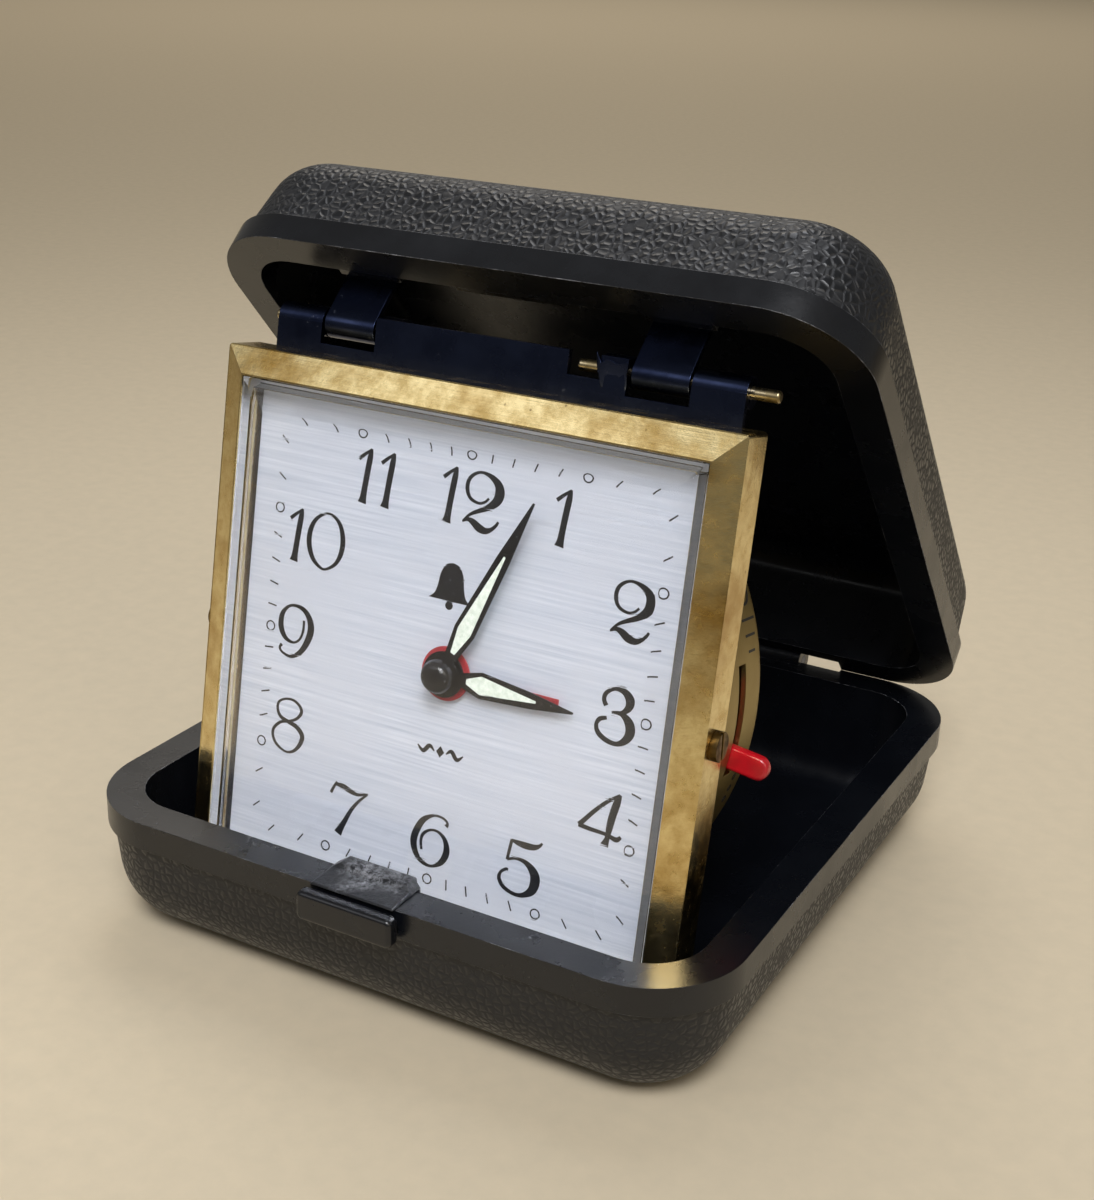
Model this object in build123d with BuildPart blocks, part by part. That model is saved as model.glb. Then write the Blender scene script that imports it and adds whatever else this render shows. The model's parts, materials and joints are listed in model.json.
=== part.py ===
from build123d import *
from math import atan2, cos, degrees, hypot, pi, radians, sin
import os

# A folding wind-up travel alarm clock, standing open.  Millimetres, +Z up, origin at the middle
# of the face it rests on, front towards -Y.  The case is a tray and a lid of the same plan,
# hinged along the back; the square clock hangs from the lid and its foot stands in the tray.

# ---- case ----
CASE_W = 84.0
CASE_D = 88.0
CORNER_R = 11.7
BASE_H = 17.0
LID_H = 16.0
BASE_EDGE_R = 9.0
LID_EDGE_R = 7.0
RIM = 4.6                # width of the flat rim
FLOOR = 1.8              # thickness of the flat of each shell
DRAFT = 6.0              # degrees the walls lean in
BAND_H = 3.5             # smooth band beside each rim
BAND_PROUD = 0.3
LID_ANGLE = 47.2         # lid above the tray's rim plane, degrees

# ---- case hinge ----
KNUCKLE_R = 2.1
CASE_PIN_R = 0.8
RUNNING = 0.05           # radial clearance of everything that turns
KNUCKLE_LENGTH = 12.0
KNUCKLE_GAP = 0.2

# ---- clock, measured from the middle of its bezel's front edge ----
CLOCK_Y = -27.9
CLOCK_Z = 37.2
LEAN = 10.0              # degrees back from upright
BEZEL_OUT = 66.4
BEZEL_IN = 59.8
BEVEL = 1.44
BEZEL_BACK = -6.5
SHEET = 0.9
CRYSTAL_TOP = 1.4
DIAL_FRONT = -4.0
DIAL_T = 0.5
DIAL_SIZE = 61.4
DRUM_R = 32.3
DRUM_BACK = -19.5
COVER_T = 0.6

# ---- clock hinge ----
PIN_V = 36.75
PIN_W = -8.3
PIN_R = 0.7
ROLL_R = 1.75
STRAP_IN = 16.7
STRAP_OUT = 23.6
EAR_IN = 23.9
EAR_OUT = 30.2

# ---- movement, depths are behind the bezel's front edge ----
FRONT_PLATE = -8.4
BACK_PLATE = -16.4
PLATE_T = 0.8
PLATE_R = 28.6
ARBOR_R = 0.5
PIVOT_R = 0.3
WHEEL_T = 0.5

dial_plane = Plane(
    origin=(0, CLOCK_Y, CLOCK_Z),
    x_dir=(1, 0, 0),
    z_dir=(0, -cos(radians(LEAN)), sin(radians(LEAN))),
)
lid_plane = Plane(
    origin=(0, CASE_D / 2, BASE_H),
    x_dir=(1, 0, 0),
    z_dir=(0, sin(radians(LID_ANGLE)), cos(radians(LID_ANGLE))),
)
tray_plane = Plane(origin=(0, CASE_D / 2, BASE_H), x_dir=(-1, 0, 0), z_dir=(0, 0, -1))


def at(spot, depth, turn=0.0):
    """A plane parallel to the dial, over a spot of it, its first axis turned by some degrees."""
    first_axis = dial_plane.x_dir * cos(radians(turn)) + dial_plane.y_dir * sin(radians(turn))
    return Plane(
        origin=dial_plane.from_local_coords((spot[0], spot[1], depth)),
        x_dir=first_axis,
        z_dir=dial_plane.z_dir,
    )


def polar(radius, angle):
    """A spot at a radius and an angle in degrees."""
    return (radius * cos(radians(angle)), radius * sin(radians(angle)))


def beside(spot, radius, angle):
    """A spot at a radius and an angle from another spot."""
    step = polar(radius, angle)
    return (spot[0] + step[0], spot[1] + step[1])


def bearing(start, end):
    """The angle in degrees of the line from one spot to another."""
    return degrees(atan2(end[1] - start[1], end[0] - start[0]))


def save(piece, name):
    """Label a finished piece and write it."""
    piece.part.label = name
    export_step(piece.part, f"parts/{name}.step")


def section(plane, x):
    """A plane square to X whose first axis runs forward along a shell and second axis out of it."""
    forward = Vector(0, 0, 0) - plane.y_dir
    origin = Vector(x, plane.origin.Y, plane.origin.Z)
    return Plane(origin=origin, x_dir=forward, z_dir=forward.cross(plane.z_dir))


# ======================= case =======================

def shell(plane, height, edge_r):
    """A rounded tray: a proud band at the rim, leaning walls, a rolled edge and a hollow."""
    middle = Plane(
        origin=plane.from_local_coords((0, -CASE_D / 2, 0)), x_dir=plane.x_dir, z_dir=plane.z_dir
    )
    inset = 2 * BAND_PROUD
    hollow_depth = height - FLOOR
    with BuildPart() as body:
        with BuildSketch(middle):
            RectangleRounded(CASE_W - inset, CASE_D - inset, CORNER_R - BAND_PROUD)
        extrude(amount=height, taper=DRAFT)
        fillet(body.faces().sort_by(Axis(middle.origin, middle.z_dir))[-1].edges(), edge_r)
        with BuildSketch(middle):
            RectangleRounded(CASE_W, CASE_D, CORNER_R)
        extrude(amount=BAND_H)
        with BuildSketch(middle):
            RectangleRounded(CASE_W - 2 * RIM, CASE_D - 2 * RIM, CORNER_R - RIM)
        extrude(amount=hollow_depth, taper=DRAFT / 2, mode=Mode.SUBTRACT)
        floor_face = [
            face for face in body.faces()
            if abs(middle.to_local_coords(face.center()).Z - hollow_depth) < 0.01
        ]
        fillet(floor_face[0].edges(), 4.0)
    return body


REST_RIB_X = 31.5
SPRING_SEAT_Z = 5.0
SPRING_SEAT_H = 2.4
foot_v = -BEZEL_OUT / 2
foot = dial_plane.from_local_coords((0, foot_v, BEZEL_BACK))
rest_top = foot.Z - 0.3
LATCH_W = 10.0
LATCH_H = 1.8
LATCH_DROP = 2.0         # middle of the latch below the rim
SLOT_CLEAR = 0.1
latch_z = BASE_H - LATCH_DROP
inner_front = -(CASE_D / 2 - RIM)
knuckle_x = KNUCKLE_LENGTH + KNUCKLE_GAP

tray = shell(tray_plane, BASE_H, BASE_EDGE_R)
with BuildPart() as case_base:
    add(tray.part)
    with BuildSketch(Plane.XY.offset(FLOOR - 0.5)):
        with Locations((-REST_RIB_X, foot.Y), (REST_RIB_X, foot.Y)):
            Rectangle(2.4, 8.0)
    extrude(amount=rest_top - FLOOR + 0.5)
    with BuildSketch(Plane.XY.offset(SPRING_SEAT_Z)):
        with Locations((0, inner_front + 0.4)):
            Rectangle(7.0, 2.4)
    extrude(amount=SPRING_SEAT_H)
    with BuildSketch(Plane.XZ.offset(CASE_D / 2 + 1)):
        with Locations((0, latch_z)):
            Rectangle(LATCH_W + 2 * SLOT_CLEAR, LATCH_H + 2 * SLOT_CLEAR)
    extrude(amount=-(RIM + 3), mode=Mode.SUBTRACT)
    with BuildSketch(Plane.YZ.offset(-KNUCKLE_LENGTH / 2 - KNUCKLE_GAP)):
        with Locations((CASE_D / 2, BASE_H)):
            Circle(KNUCKLE_R + 0.3)
    extrude(amount=KNUCKLE_LENGTH + 2 * KNUCKLE_GAP, mode=Mode.SUBTRACT)
    for end in (-1, 1):
        with BuildSketch(Plane.YZ.offset(end * (KNUCKLE_LENGTH / 2 + KNUCKLE_GAP))):
            with Locations((CASE_D / 2, BASE_H)):
                Circle(KNUCKLE_R)
        extrude(amount=end * KNUCKLE_LENGTH)
    with BuildSketch(Plane.YZ.offset(-KNUCKLE_LENGTH * 2)):
        with Locations((CASE_D / 2, BASE_H)):
            Circle(CASE_PIN_R)
    extrude(amount=KNUCKLE_LENGTH * 4, mode=Mode.SUBTRACT)
save(case_base, "case_base")

with BuildPart() as case_hinge_pin:
    half = KNUCKLE_LENGTH * 1.5 + KNUCKLE_GAP
    with BuildSketch(Plane.YZ.offset(-half)):
        with Locations((CASE_D / 2, BASE_H)):
            Circle(CASE_PIN_R)
    extrude(amount=2 * half)
save(case_hinge_pin, "case_hinge_pin")

LATCH_TRAVEL = 0.6
LIP_W = 12.6
LIP_T = 1.6
lip_back = -CASE_D / 2 - LATCH_TRAVEL - 0.05
catch_front = inner_front + 0.35
CATCH_T = 1.1
with BuildPart() as latch_button:
    with BuildSketch(Plane.XZ.offset(-lip_back)):
        with Locations((0, latch_z)):
            RectangleRounded(LIP_W, 3.6, 0.8)
    extrude(amount=LIP_T)
    fillet(latch_button.faces().sort_by(Axis.Y)[0].edges(), 0.6)
    with BuildSketch(Plane.XZ.offset(-lip_back)):
        with Locations((0, latch_z)):
            Rectangle(LATCH_W, LATCH_H)
    extrude(amount=-(catch_front + CATCH_T - lip_back))
save(latch_button, "latch_button")

with BuildPart() as latch_catch:
    with BuildSketch(Plane.XZ.offset(-catch_front)):
        with Locations((0, BASE_H - 1.2)):
            RectangleRounded(LATCH_W + 2.4, 4.4, 0.7)
        with Locations((0, latch_z)):
            Rectangle(LATCH_W, LATCH_H, mode=Mode.SUBTRACT)
    extrude(amount=-CATCH_T)
save(latch_catch, "latch_catch")

LEAF_T = 0.3
leaf_y = catch_front + CATCH_T + 0.05
with BuildPart() as latch_spring:
    with BuildSketch(Plane.YZ.offset(-3)):
        with BuildLine():
            Polyline(
                (leaf_y, latch_z + 1.2),
                (leaf_y, SPRING_SEAT_Z + SPRING_SEAT_H + 1.2),
                (inner_front + 1.6, SPRING_SEAT_Z + SPRING_SEAT_H + 0.2),
                (inner_front + 1.6, SPRING_SEAT_Z),
                (inner_front + 1.6 + LEAF_T, SPRING_SEAT_Z),
                (inner_front + 1.6 + LEAF_T, SPRING_SEAT_Z + SPRING_SEAT_H),
                (leaf_y + LEAF_T, SPRING_SEAT_Z + SPRING_SEAT_H + 1.0),
                (leaf_y + LEAF_T, latch_z + 1.2),
                close=True,
            )
        make_face()
    extrude(amount=6)
save(latch_spring, "latch_spring")

# ---- lid, with the bosses that carry the clock's straps ----
pin_point = dial_plane.from_local_coords((0, PIN_V, PIN_W))
pin_in_lid = lid_plane.to_local_coords(pin_point)
pin_s = -pin_in_lid.Y    # distance of the clock's hinge from the case hinge
pin_h = pin_in_lid.Z
lid_wall = CASE_D - RIM
strap_face = pin_s + ROLL_R
BOSS_LOW = 1.0
BOSS_HIGH = 12.2

lid_shell = shell(lid_plane, LID_H, LID_EDGE_R)
with BuildPart() as case_lid:
    add(lid_shell.part)
    for side in (STRAP_IN, -STRAP_OUT):
        with BuildSketch(section(lid_plane, side - 0.8)):
            with Locations(((strap_face + lid_wall + 0.4) / 2, (BOSS_LOW + BOSS_HIGH) / 2)):
                Rectangle(lid_wall + 0.4 - strap_face, BOSS_HIGH - BOSS_LOW)
        extrude(amount=-(STRAP_OUT - STRAP_IN + 1.6))
    with BuildSketch(section(lid_plane, -8)):
        with Locations((lid_wall - 0.7, 1.6)):
            Rectangle(2.4, 1.6)
    extrude(amount=-16)
    with BuildSketch(section(lid_plane, -KNUCKLE_LENGTH * 2)):
        Circle(KNUCKLE_R + 0.3)
    extrude(amount=-KNUCKLE_LENGTH * 4, mode=Mode.SUBTRACT)
    with BuildSketch(section(lid_plane, -KNUCKLE_LENGTH / 2)):
        Circle(KNUCKLE_R)
        with Locations((KNUCKLE_R, KNUCKLE_R / 2 + 0.6)):
            Rectangle(2 * KNUCKLE_R, KNUCKLE_R)
        Circle(CASE_PIN_R + RUNNING, mode=Mode.SUBTRACT)
    extrude(amount=-KNUCKLE_LENGTH)
save(case_lid, "case_lid")

STRAP_T = 0.7
STRAP_TOP = 11.5
RIVET_H = (6.0, 9.3)
strap_width = STRAP_OUT - STRAP_IN
for side_name, edge in (("left", -STRAP_OUT), ("right", STRAP_IN)):
    with BuildPart() as lid_strap:
        with BuildSketch(section(lid_plane, edge)):
            with Locations((pin_s, pin_h)):
                Circle(ROLL_R)
            with Locations((strap_face - STRAP_T / 2, (pin_h + STRAP_TOP) / 2)):
                Rectangle(STRAP_T, STRAP_TOP - pin_h)
            with Locations((pin_s, pin_h)):
                Circle(PIN_R + RUNNING, mode=Mode.SUBTRACT)
        extrude(amount=-strap_width)
    save(lid_strap, f"lid_strap_{side_name}")

with BuildPart() as strap_rivets:
    for edge in (-STRAP_OUT, STRAP_IN):
        for height in RIVET_H:
            spot = lid_plane.from_local_coords((edge + strap_width / 2, -strap_face + STRAP_T, height))
            with BuildSketch(Plane(origin=spot, x_dir=(1, 0, 0), z_dir=lid_plane.y_dir)):
                Circle(1.4)
            extrude(amount=0.5)
save(strap_rivets, "strap_rivets")

# ======================= clock housing =======================

with BuildPart() as bezel:
    with BuildSketch(dial_plane.offset(BEZEL_BACK)):
        RectangleRounded(BEZEL_OUT, BEZEL_OUT, 0.5)
    extrude(amount=-BEZEL_BACK - BEVEL)
    with BuildSketch(dial_plane.offset(-BEVEL)):
        Rectangle(BEZEL_OUT - 0.3, BEZEL_OUT - 0.3)
    with BuildSketch(dial_plane):
        Rectangle(BEZEL_IN + 0.4, BEZEL_IN + 0.4)
    loft()
    with BuildSketch(dial_plane.offset(BEZEL_BACK)):
        Rectangle(BEZEL_IN, BEZEL_IN)
    extrude(amount=-BEZEL_BACK + 1, mode=Mode.SUBTRACT)
    with BuildSketch(dial_plane.offset(BEZEL_BACK)):
        Rectangle(BEZEL_OUT - 2 * SHEET, BEZEL_OUT - 2 * SHEET)
    extrude(amount=-BEZEL_BACK - 2.2, mode=Mode.SUBTRACT)
    with BuildSketch(Plane(origin=at((0, -0.5), -4.0).origin, x_dir=(0, 0, 1), z_dir=(1, 0, 0))):
        Circle(0.8)
    extrude(amount=BEZEL_OUT, both=True, mode=Mode.SUBTRACT)
save(bezel, "bezel")

CRYSTAL_SEAT = -2.2
CRYSTAL_LIP = 1.0
CRYSTAL_SLOPE_W = 2.8    # width of the sloping border of its face
CRYSTAL_HOLLOW_SLOPE = 0.9
crystal_slope = degrees(atan2(CRYSTAL_SLOPE_W, CRYSTAL_TOP))
with BuildPart() as crystal:
    with BuildSketch(dial_plane.offset(CRYSTAL_SEAT)):
        Rectangle(BEZEL_IN - 0.2, BEZEL_IN - 0.2)
    extrude(amount=-CRYSTAL_SEAT)
    with BuildSketch(dial_plane):
        Rectangle(BEZEL_IN - 0.2, BEZEL_IN - 0.2)
    extrude(amount=CRYSTAL_TOP, taper=crystal_slope)
    with BuildSketch(dial_plane.offset(CRYSTAL_SEAT - CRYSTAL_LIP)):
        Rectangle(BEZEL_OUT - 2 * SHEET - 0.2, BEZEL_OUT - 2 * SHEET - 0.2)
    extrude(amount=CRYSTAL_LIP)
    with BuildSketch(dial_plane.offset(CRYSTAL_SEAT - CRYSTAL_LIP)):
        Rectangle(BEZEL_IN - 2.8, BEZEL_IN - 2.8)
    extrude(amount=CRYSTAL_LIP - CRYSTAL_SEAT - CRYSTAL_HOLLOW_SLOPE, mode=Mode.SUBTRACT)
    with BuildSketch(dial_plane.offset(-CRYSTAL_HOLLOW_SLOPE)):
        Rectangle(BEZEL_IN - 2.8, BEZEL_IN - 2.8)
    extrude(amount=CRYSTAL_HOLLOW_SLOPE + 0.3, taper=crystal_slope, mode=Mode.SUBTRACT)
save(crystal, "crystal")

RING_FRONT = CRYSTAL_SEAT - CRYSTAL_LIP
RING_BACK = -5.9
RING_OUT = BEZEL_OUT - 2 * SHEET
DIAL_BACK = DIAL_FRONT - DIAL_T
LEDGE_T = 0.8
with BuildPart() as dial_ring:
    with BuildSketch(dial_plane.offset(RING_BACK)):
        Rectangle(RING_OUT, RING_OUT)
        Rectangle(DIAL_SIZE, DIAL_SIZE, mode=Mode.SUBTRACT)
    extrude(amount=RING_FRONT - RING_BACK)
    with BuildSketch(dial_plane.offset(DIAL_BACK - LEDGE_T)):
        Rectangle(DIAL_SIZE + 0.2, DIAL_SIZE + 0.2)
        Circle(26.2, mode=Mode.SUBTRACT)
    extrude(amount=LEDGE_T)
    with BuildSketch(Plane(origin=at((0, -0.5), -4.0).origin, x_dir=(0, 0, 1), z_dir=(1, 0, 0))):
        Circle(0.7)
    extrude(amount=BEZEL_OUT, both=True, mode=Mode.SUBTRACT)
save(dial_ring, "dial_ring")

ALARM_PIPE_R = 1.6
with BuildPart() as dial:
    with BuildSketch(dial_plane.offset(DIAL_BACK)):
        Rectangle(DIAL_SIZE, DIAL_SIZE)
        Circle(ALARM_PIPE_R + 0.15, mode=Mode.SUBTRACT)
    extrude(amount=DIAL_T)
save(dial, "dial")

with BuildPart() as bezel_screws:
    for side in (-1, 1):
        head = Plane(
            origin=at((side * BEZEL_OUT / 2, -0.5), -4.0).origin, x_dir=(0, 0, 1), z_dir=(side, 0, 0)
        )
        with BuildSketch(head):
            Circle(1.7)
        extrude(amount=0.9)
        with BuildSketch(head.offset(0.45)):
            Rectangle(3.6, 0.4)
        extrude(amount=0.6, mode=Mode.SUBTRACT)
        with BuildSketch(head):
            Circle(0.7)
        extrude(amount=-2.2)
save(bezel_screws, "bezel_screws")

# ---- spots of the arbors on the dial plane ----
CENTRE = (0.0, 0.0)
THIRD = polar(9.52, 60)
FOURTH = beside(THIRD, 8.82, -20)
ESCAPE = beside(FOURTH, 8.25, -60)
GREAT = polar(12.0, 215)
MINUTE = polar(9.6, 150)
ALARM_SET = polar(10.5, 280)
ALARM_GREAT = (-9.5, 15.0)
ALARM_STAR = beside(ALARM_GREAT, 9.28, 203)
HAMMER = (-21.0, 2.0)
PALLET = beside(ESCAPE, 6.0, -110)
BALANCE = (11.0, -15.0)
PILLARS = [polar(26.2, angle) for angle in (80, 165, 250, 345)]
REGULATOR_SLOT_R = 6.0

COVER_FLANGE = 64.4
LEVER_W = -13.0
LEVER_T = 1.6
LEVER_REST = -7.5        # degrees below the level line, in its lower place
LEVER_THROW = 15.0
LEVER_TIP = 36.9         # reach of its tip from the middle of the dial
LEVER_WIDE = 2.8
with BuildPart() as back_cover:
    with BuildSketch(dial_plane.offset(DRUM_BACK)):
        Circle(DRUM_R)
    extrude(amount=RING_BACK - COVER_T - DRUM_BACK)
    fillet(back_cover.faces().sort_by(Axis(dial_plane.origin, dial_plane.z_dir))[0].edges(), 1.6)
    with BuildSketch(dial_plane.offset(RING_BACK - COVER_T)):
        Rectangle(COVER_FLANGE, COVER_FLANGE)
    extrude(amount=COVER_T)
    with BuildSketch(dial_plane.offset(DRUM_BACK + COVER_T)):
        Circle(DRUM_R - COVER_T)
    extrude(amount=RING_BACK - DRUM_BACK, mode=Mode.SUBTRACT)
    with BuildSketch(dial_plane.offset(LEVER_W - LEVER_T / 2 - 0.2)):
        with BuildLine():
            low = LEVER_REST - 4
            high = LEVER_REST + LEVER_THROW + 4
            Polyline((0, 0), polar(40, low), polar(40, high), close=True)
        make_face()
        Circle(DRUM_R - 1.5, mode=Mode.SUBTRACT)
    extrude(amount=LEVER_T + 0.4, mode=Mode.SUBTRACT)
    with BuildSketch(dial_plane.offset(DRUM_BACK - 1)):
        with Locations(GREAT, ALARM_GREAT):
            Circle(1.6)
        with Locations(MINUTE, ALARM_SET):
            Circle(0.9)
        with Locations(BALANCE):
            with BuildLine():
                slot_path = CenterArc((0, 0), REGULATOR_SLOT_R, -110, 40)
            SlotArc(slot_path, 1.6)
    extrude(amount=3, mode=Mode.SUBTRACT)
save(back_cover, "back_cover")

with BuildPart() as alarm_lever:
    with BuildSketch(dial_plane.offset(LEVER_W - LEVER_T / 2)):
        with BuildLine():
            Polyline((0, 0), polar(40, LEVER_REST - 16), polar(40, LEVER_REST + 16), close=True)
        make_face()
        Circle(DRUM_R - COVER_T - 0.1, mode=Mode.INTERSECT)
        Circle(29.2, mode=Mode.SUBTRACT)
        with Locations(polar((29.6 + LEVER_TIP) / 2, LEVER_REST)):
            SlotOverall(LEVER_TIP - 29.6, LEVER_WIDE, rotation=LEVER_REST)
    extrude(amount=LEVER_T)
save(alarm_lever, "alarm_lever")

# ---- clock hinge ----
PLATE_FRONT = RING_BACK - COVER_T
FLANGE_T = 0.8
with BuildPart() as hinge_plate:
    with BuildSketch(dial_plane.offset(PLATE_FRONT - FLANGE_T)):
        with Locations((0, 28.9)):
            Rectangle(2 * EAR_OUT, 10.8)
        with Locations((-3.65, 34)):
            Rectangle(25.3, 8.6)
        with Locations((-14.65, 34), (14.65, 34)):
            Rectangle(3.3, 8.6)
        with Locations((10.7, 33)):
            Rectangle(5.0, 5.2)
        for side in (-1, 1):
            with Locations((side * (EAR_IN + EAR_OUT) / 2, 34)):
                Rectangle(EAR_OUT - EAR_IN, 2 * (PIN_V - 34))
        Circle(DRUM_R + 0.1, mode=Mode.SUBTRACT)
    extrude(amount=FLANGE_T)
    for low, high in ((-EAR_OUT, -EAR_IN), (-16.3, -13.0), (13.0, 16.3), (EAR_IN, EAR_OUT)):
        roll = Plane(origin=at((low, PIN_V), PIN_W).origin, x_dir=(0, 0, 1), z_dir=(1, 0, 0))
        with BuildSketch(roll):
            Circle(ROLL_R)
        extrude(amount=high - low)
    axis_plane = Plane(origin=at((-40, PIN_V), PIN_W).origin, x_dir=(0, 0, 1), z_dir=(1, 0, 0))
    with BuildSketch(axis_plane):
        Circle(PIN_R)
    extrude(amount=80, mode=Mode.SUBTRACT)
save(hinge_plate, "hinge_plate")

for side_name, low, high in (("left", -31.4, -13.0), ("right", 9.6, 33.4)):
    with BuildPart() as hinge_pin:
        pin_end = Plane(origin=at((low, PIN_V), PIN_W).origin, x_dir=(0, 0, 1), z_dir=(1, 0, 0))
        with BuildSketch(pin_end):
            Circle(PIN_R)
        extrude(amount=high - low)
        ends = hinge_pin.faces().filter_by(GeomType.PLANE)
        fillet(ends.edges(), 0.3)
    save(hinge_pin, f"clock_pin_{side_name}")

with BuildPart() as plate_rivets:
    with BuildSketch(dial_plane.offset(PLATE_FRONT - FLANGE_T - 0.5)):
        with Locations((-27, 25.4), (27, 25.4)):
            Circle(1.3)
    extrude(amount=0.5)
save(plate_rivets, "plate_rivets")

# ======================= movement frame =======================

def bored_plate(depth, holes):
    """A round movement plate with its pivot holes."""
    with BuildPart() as plate:
        with BuildSketch(dial_plane.offset(depth)):
            Circle(PLATE_R)
            for spot, radius in holes:
                with Locations(spot):
                    Circle(radius, mode=Mode.SUBTRACT)
        extrude(amount=PLATE_T)
    return plate


PIVOT_HOLE = PIVOT_R + RUNNING
ARBOR_HOLE = ARBOR_R + RUNNING
KEY_ARBOR_R = 0.9
shared_pivots = [(spot, PIVOT_HOLE) for spot in (THIRD, FOURTH, ESCAPE, PALLET, ALARM_STAR, HAMMER)]
shared_pivots += [(MINUTE, ARBOR_HOLE), (ALARM_SET, ARBOR_HOLE), (CENTRE, ARBOR_HOLE)]
winding_holes = [(GREAT, KEY_ARBOR_R + RUNNING), (ALARM_GREAT, KEY_ARBOR_R + RUNNING)]
balance_hole = [(BALANCE, PIVOT_HOLE)]
front_plate = bored_plate(FRONT_PLATE - PLATE_T, shared_pivots + winding_holes + balance_hole)
save(front_plate, "front_plate")
back_plate = bored_plate(BACK_PLATE - PLATE_T, shared_pivots + winding_holes + balance_hole)
save(back_plate, "back_plate")

with BuildPart() as plate_pillars:
    with BuildSketch(dial_plane.offset(BACK_PLATE)):
        with Locations(*PILLARS):
            Circle(1.3)
    extrude(amount=FRONT_PLATE - PLATE_T - BACK_PLATE)
save(plate_pillars, "plate_pillars")

with BuildPart() as pillar_nuts:
    with BuildSketch(dial_plane.offset(BACK_PLATE - PLATE_T - 0.9)):
        with Locations(*PILLARS):
            RegularPolygon(1.7, 6)
    extrude(amount=0.9)
save(pillar_nuts, "pillar_nuts")

with BuildPart() as movement_posts:
    with BuildSketch(dial_plane.offset(FRONT_PLATE)):
        with Locations(*[polar(27.4, angle) for angle in (45, 135, 225, 315)]):
            Circle(1.0)
    extrude(amount=DIAL_BACK - LEDGE_T - FRONT_PLATE)
save(movement_posts, "movement_posts")

# ======================= wheels =======================

def teeth_outline(teeth, module, turn=0.0, fill=0.34):
    """The outline of a toothed wheel, one tooth pointing along its first axis, turned in degrees."""
    pitch_r = teeth * module / 2
    root_r = pitch_r - 1.3 * module
    tip_r = pitch_r + 0.75 * module
    step = 2 * pi / teeth
    corners = []
    for index in range(teeth):
        middle = index * step + radians(turn)
        for radius, share in ((root_r, -0.62), (tip_r, -0.22), (tip_r, 0.22), (root_r, 0.62)):
            angle = middle + share * fill * step * 1.4
            corners.append((radius * cos(angle), radius * sin(angle)))
    return corners


def mesh_turn(spot, teeth, other, gap):
    """The turn that puts a tooth, or a gap, of a wheel on the line to another spot."""
    toward = bearing(spot, other)
    return toward + (180 / teeth if gap else 0)


def arbor_part(spot, discs, rods, hole=0.0):
    """Toothed discs and plain rods on one axis: (depth, thickness, outline) and (low, high, radius)."""
    with BuildPart() as arbor:
        for depth, thickness, outline in discs:
            with BuildSketch(at(spot, depth)):
                Polygon(*outline, align=None)
            extrude(amount=thickness)
        for low, high, radius in rods:
            with BuildSketch(at(spot, low)):
                Circle(radius)
            extrude(amount=high - low)
        if hole:
            with BuildSketch(at(spot, DRUM_BACK)):
                Circle(hole)
            extrude(amount=40, mode=Mode.SUBTRACT)
    return arbor


INNER_FRONT = FRONT_PLATE - PLATE_T
L_CENTRE = INNER_FRONT - 1.0
L_FOURTH = L_CENTRE - 1.0
L_THIRD = L_FOURTH - 1.0
L_GREAT = L_THIRD - 1.0
GREAT_TEETH = 48
CENTRE_LEAVES = 12
CENTRE_TEETH = 60
THIRD_LEAVES = 8
THIRD_TEETH = 56
FOURTH_LEAVES = 7
FOURTH_TEETH = 60
ESCAPE_LEAVES = 6
GREAT_M = 0.4
CENTRE_M = 0.28
THIRD_M = 0.28
FOURTH_M = 0.25
BACK_END = BACK_PLATE - PLATE_T + 0.1
FRONT_END = FRONT_PLATE - 0.1
HAND_ARBOR_TOP = -1.9

centre_wheel = arbor_part(
    CENTRE,
    [
        (L_CENTRE, WHEEL_T, teeth_outline(CENTRE_TEETH, CENTRE_M, mesh_turn(CENTRE, 60, THIRD, False))),
        (L_GREAT - 0.2, 0.9, teeth_outline(CENTRE_LEAVES, GREAT_M, mesh_turn(CENTRE, 12, GREAT, True))),
    ],
    [(BACK_END, HAND_ARBOR_TOP, ARBOR_R)],
)
save(centre_wheel, "centre_wheel")

third_wheel = arbor_part(
    THIRD,
    [
        (L_CENTRE - 0.2, 0.9, teeth_outline(THIRD_LEAVES, CENTRE_M, mesh_turn(THIRD, 8, CENTRE, True))),
        (L_THIRD, WHEEL_T, teeth_outline(THIRD_TEETH, THIRD_M, mesh_turn(THIRD, 56, FOURTH, False))),
    ],
    [(BACK_PLATE + 0.1, INNER_FRONT - 0.1, ARBOR_R), (BACK_END, FRONT_END, PIVOT_R)],
)
save(third_wheel, "third_wheel")

fourth_wheel = arbor_part(
    FOURTH,
    [
        (L_THIRD - 0.2, 0.9, teeth_outline(FOURTH_LEAVES, THIRD_M, mesh_turn(FOURTH, 7, THIRD, True))),
        (L_FOURTH, WHEEL_T, teeth_outline(FOURTH_TEETH, FOURTH_M, mesh_turn(FOURTH, 60, ESCAPE, False))),
    ],
    [(BACK_PLATE + 0.1, INNER_FRONT - 0.1, ARBOR_R), (BACK_END, FRONT_END, PIVOT_R)],
)
save(fourth_wheel, "fourth_wheel")

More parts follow.
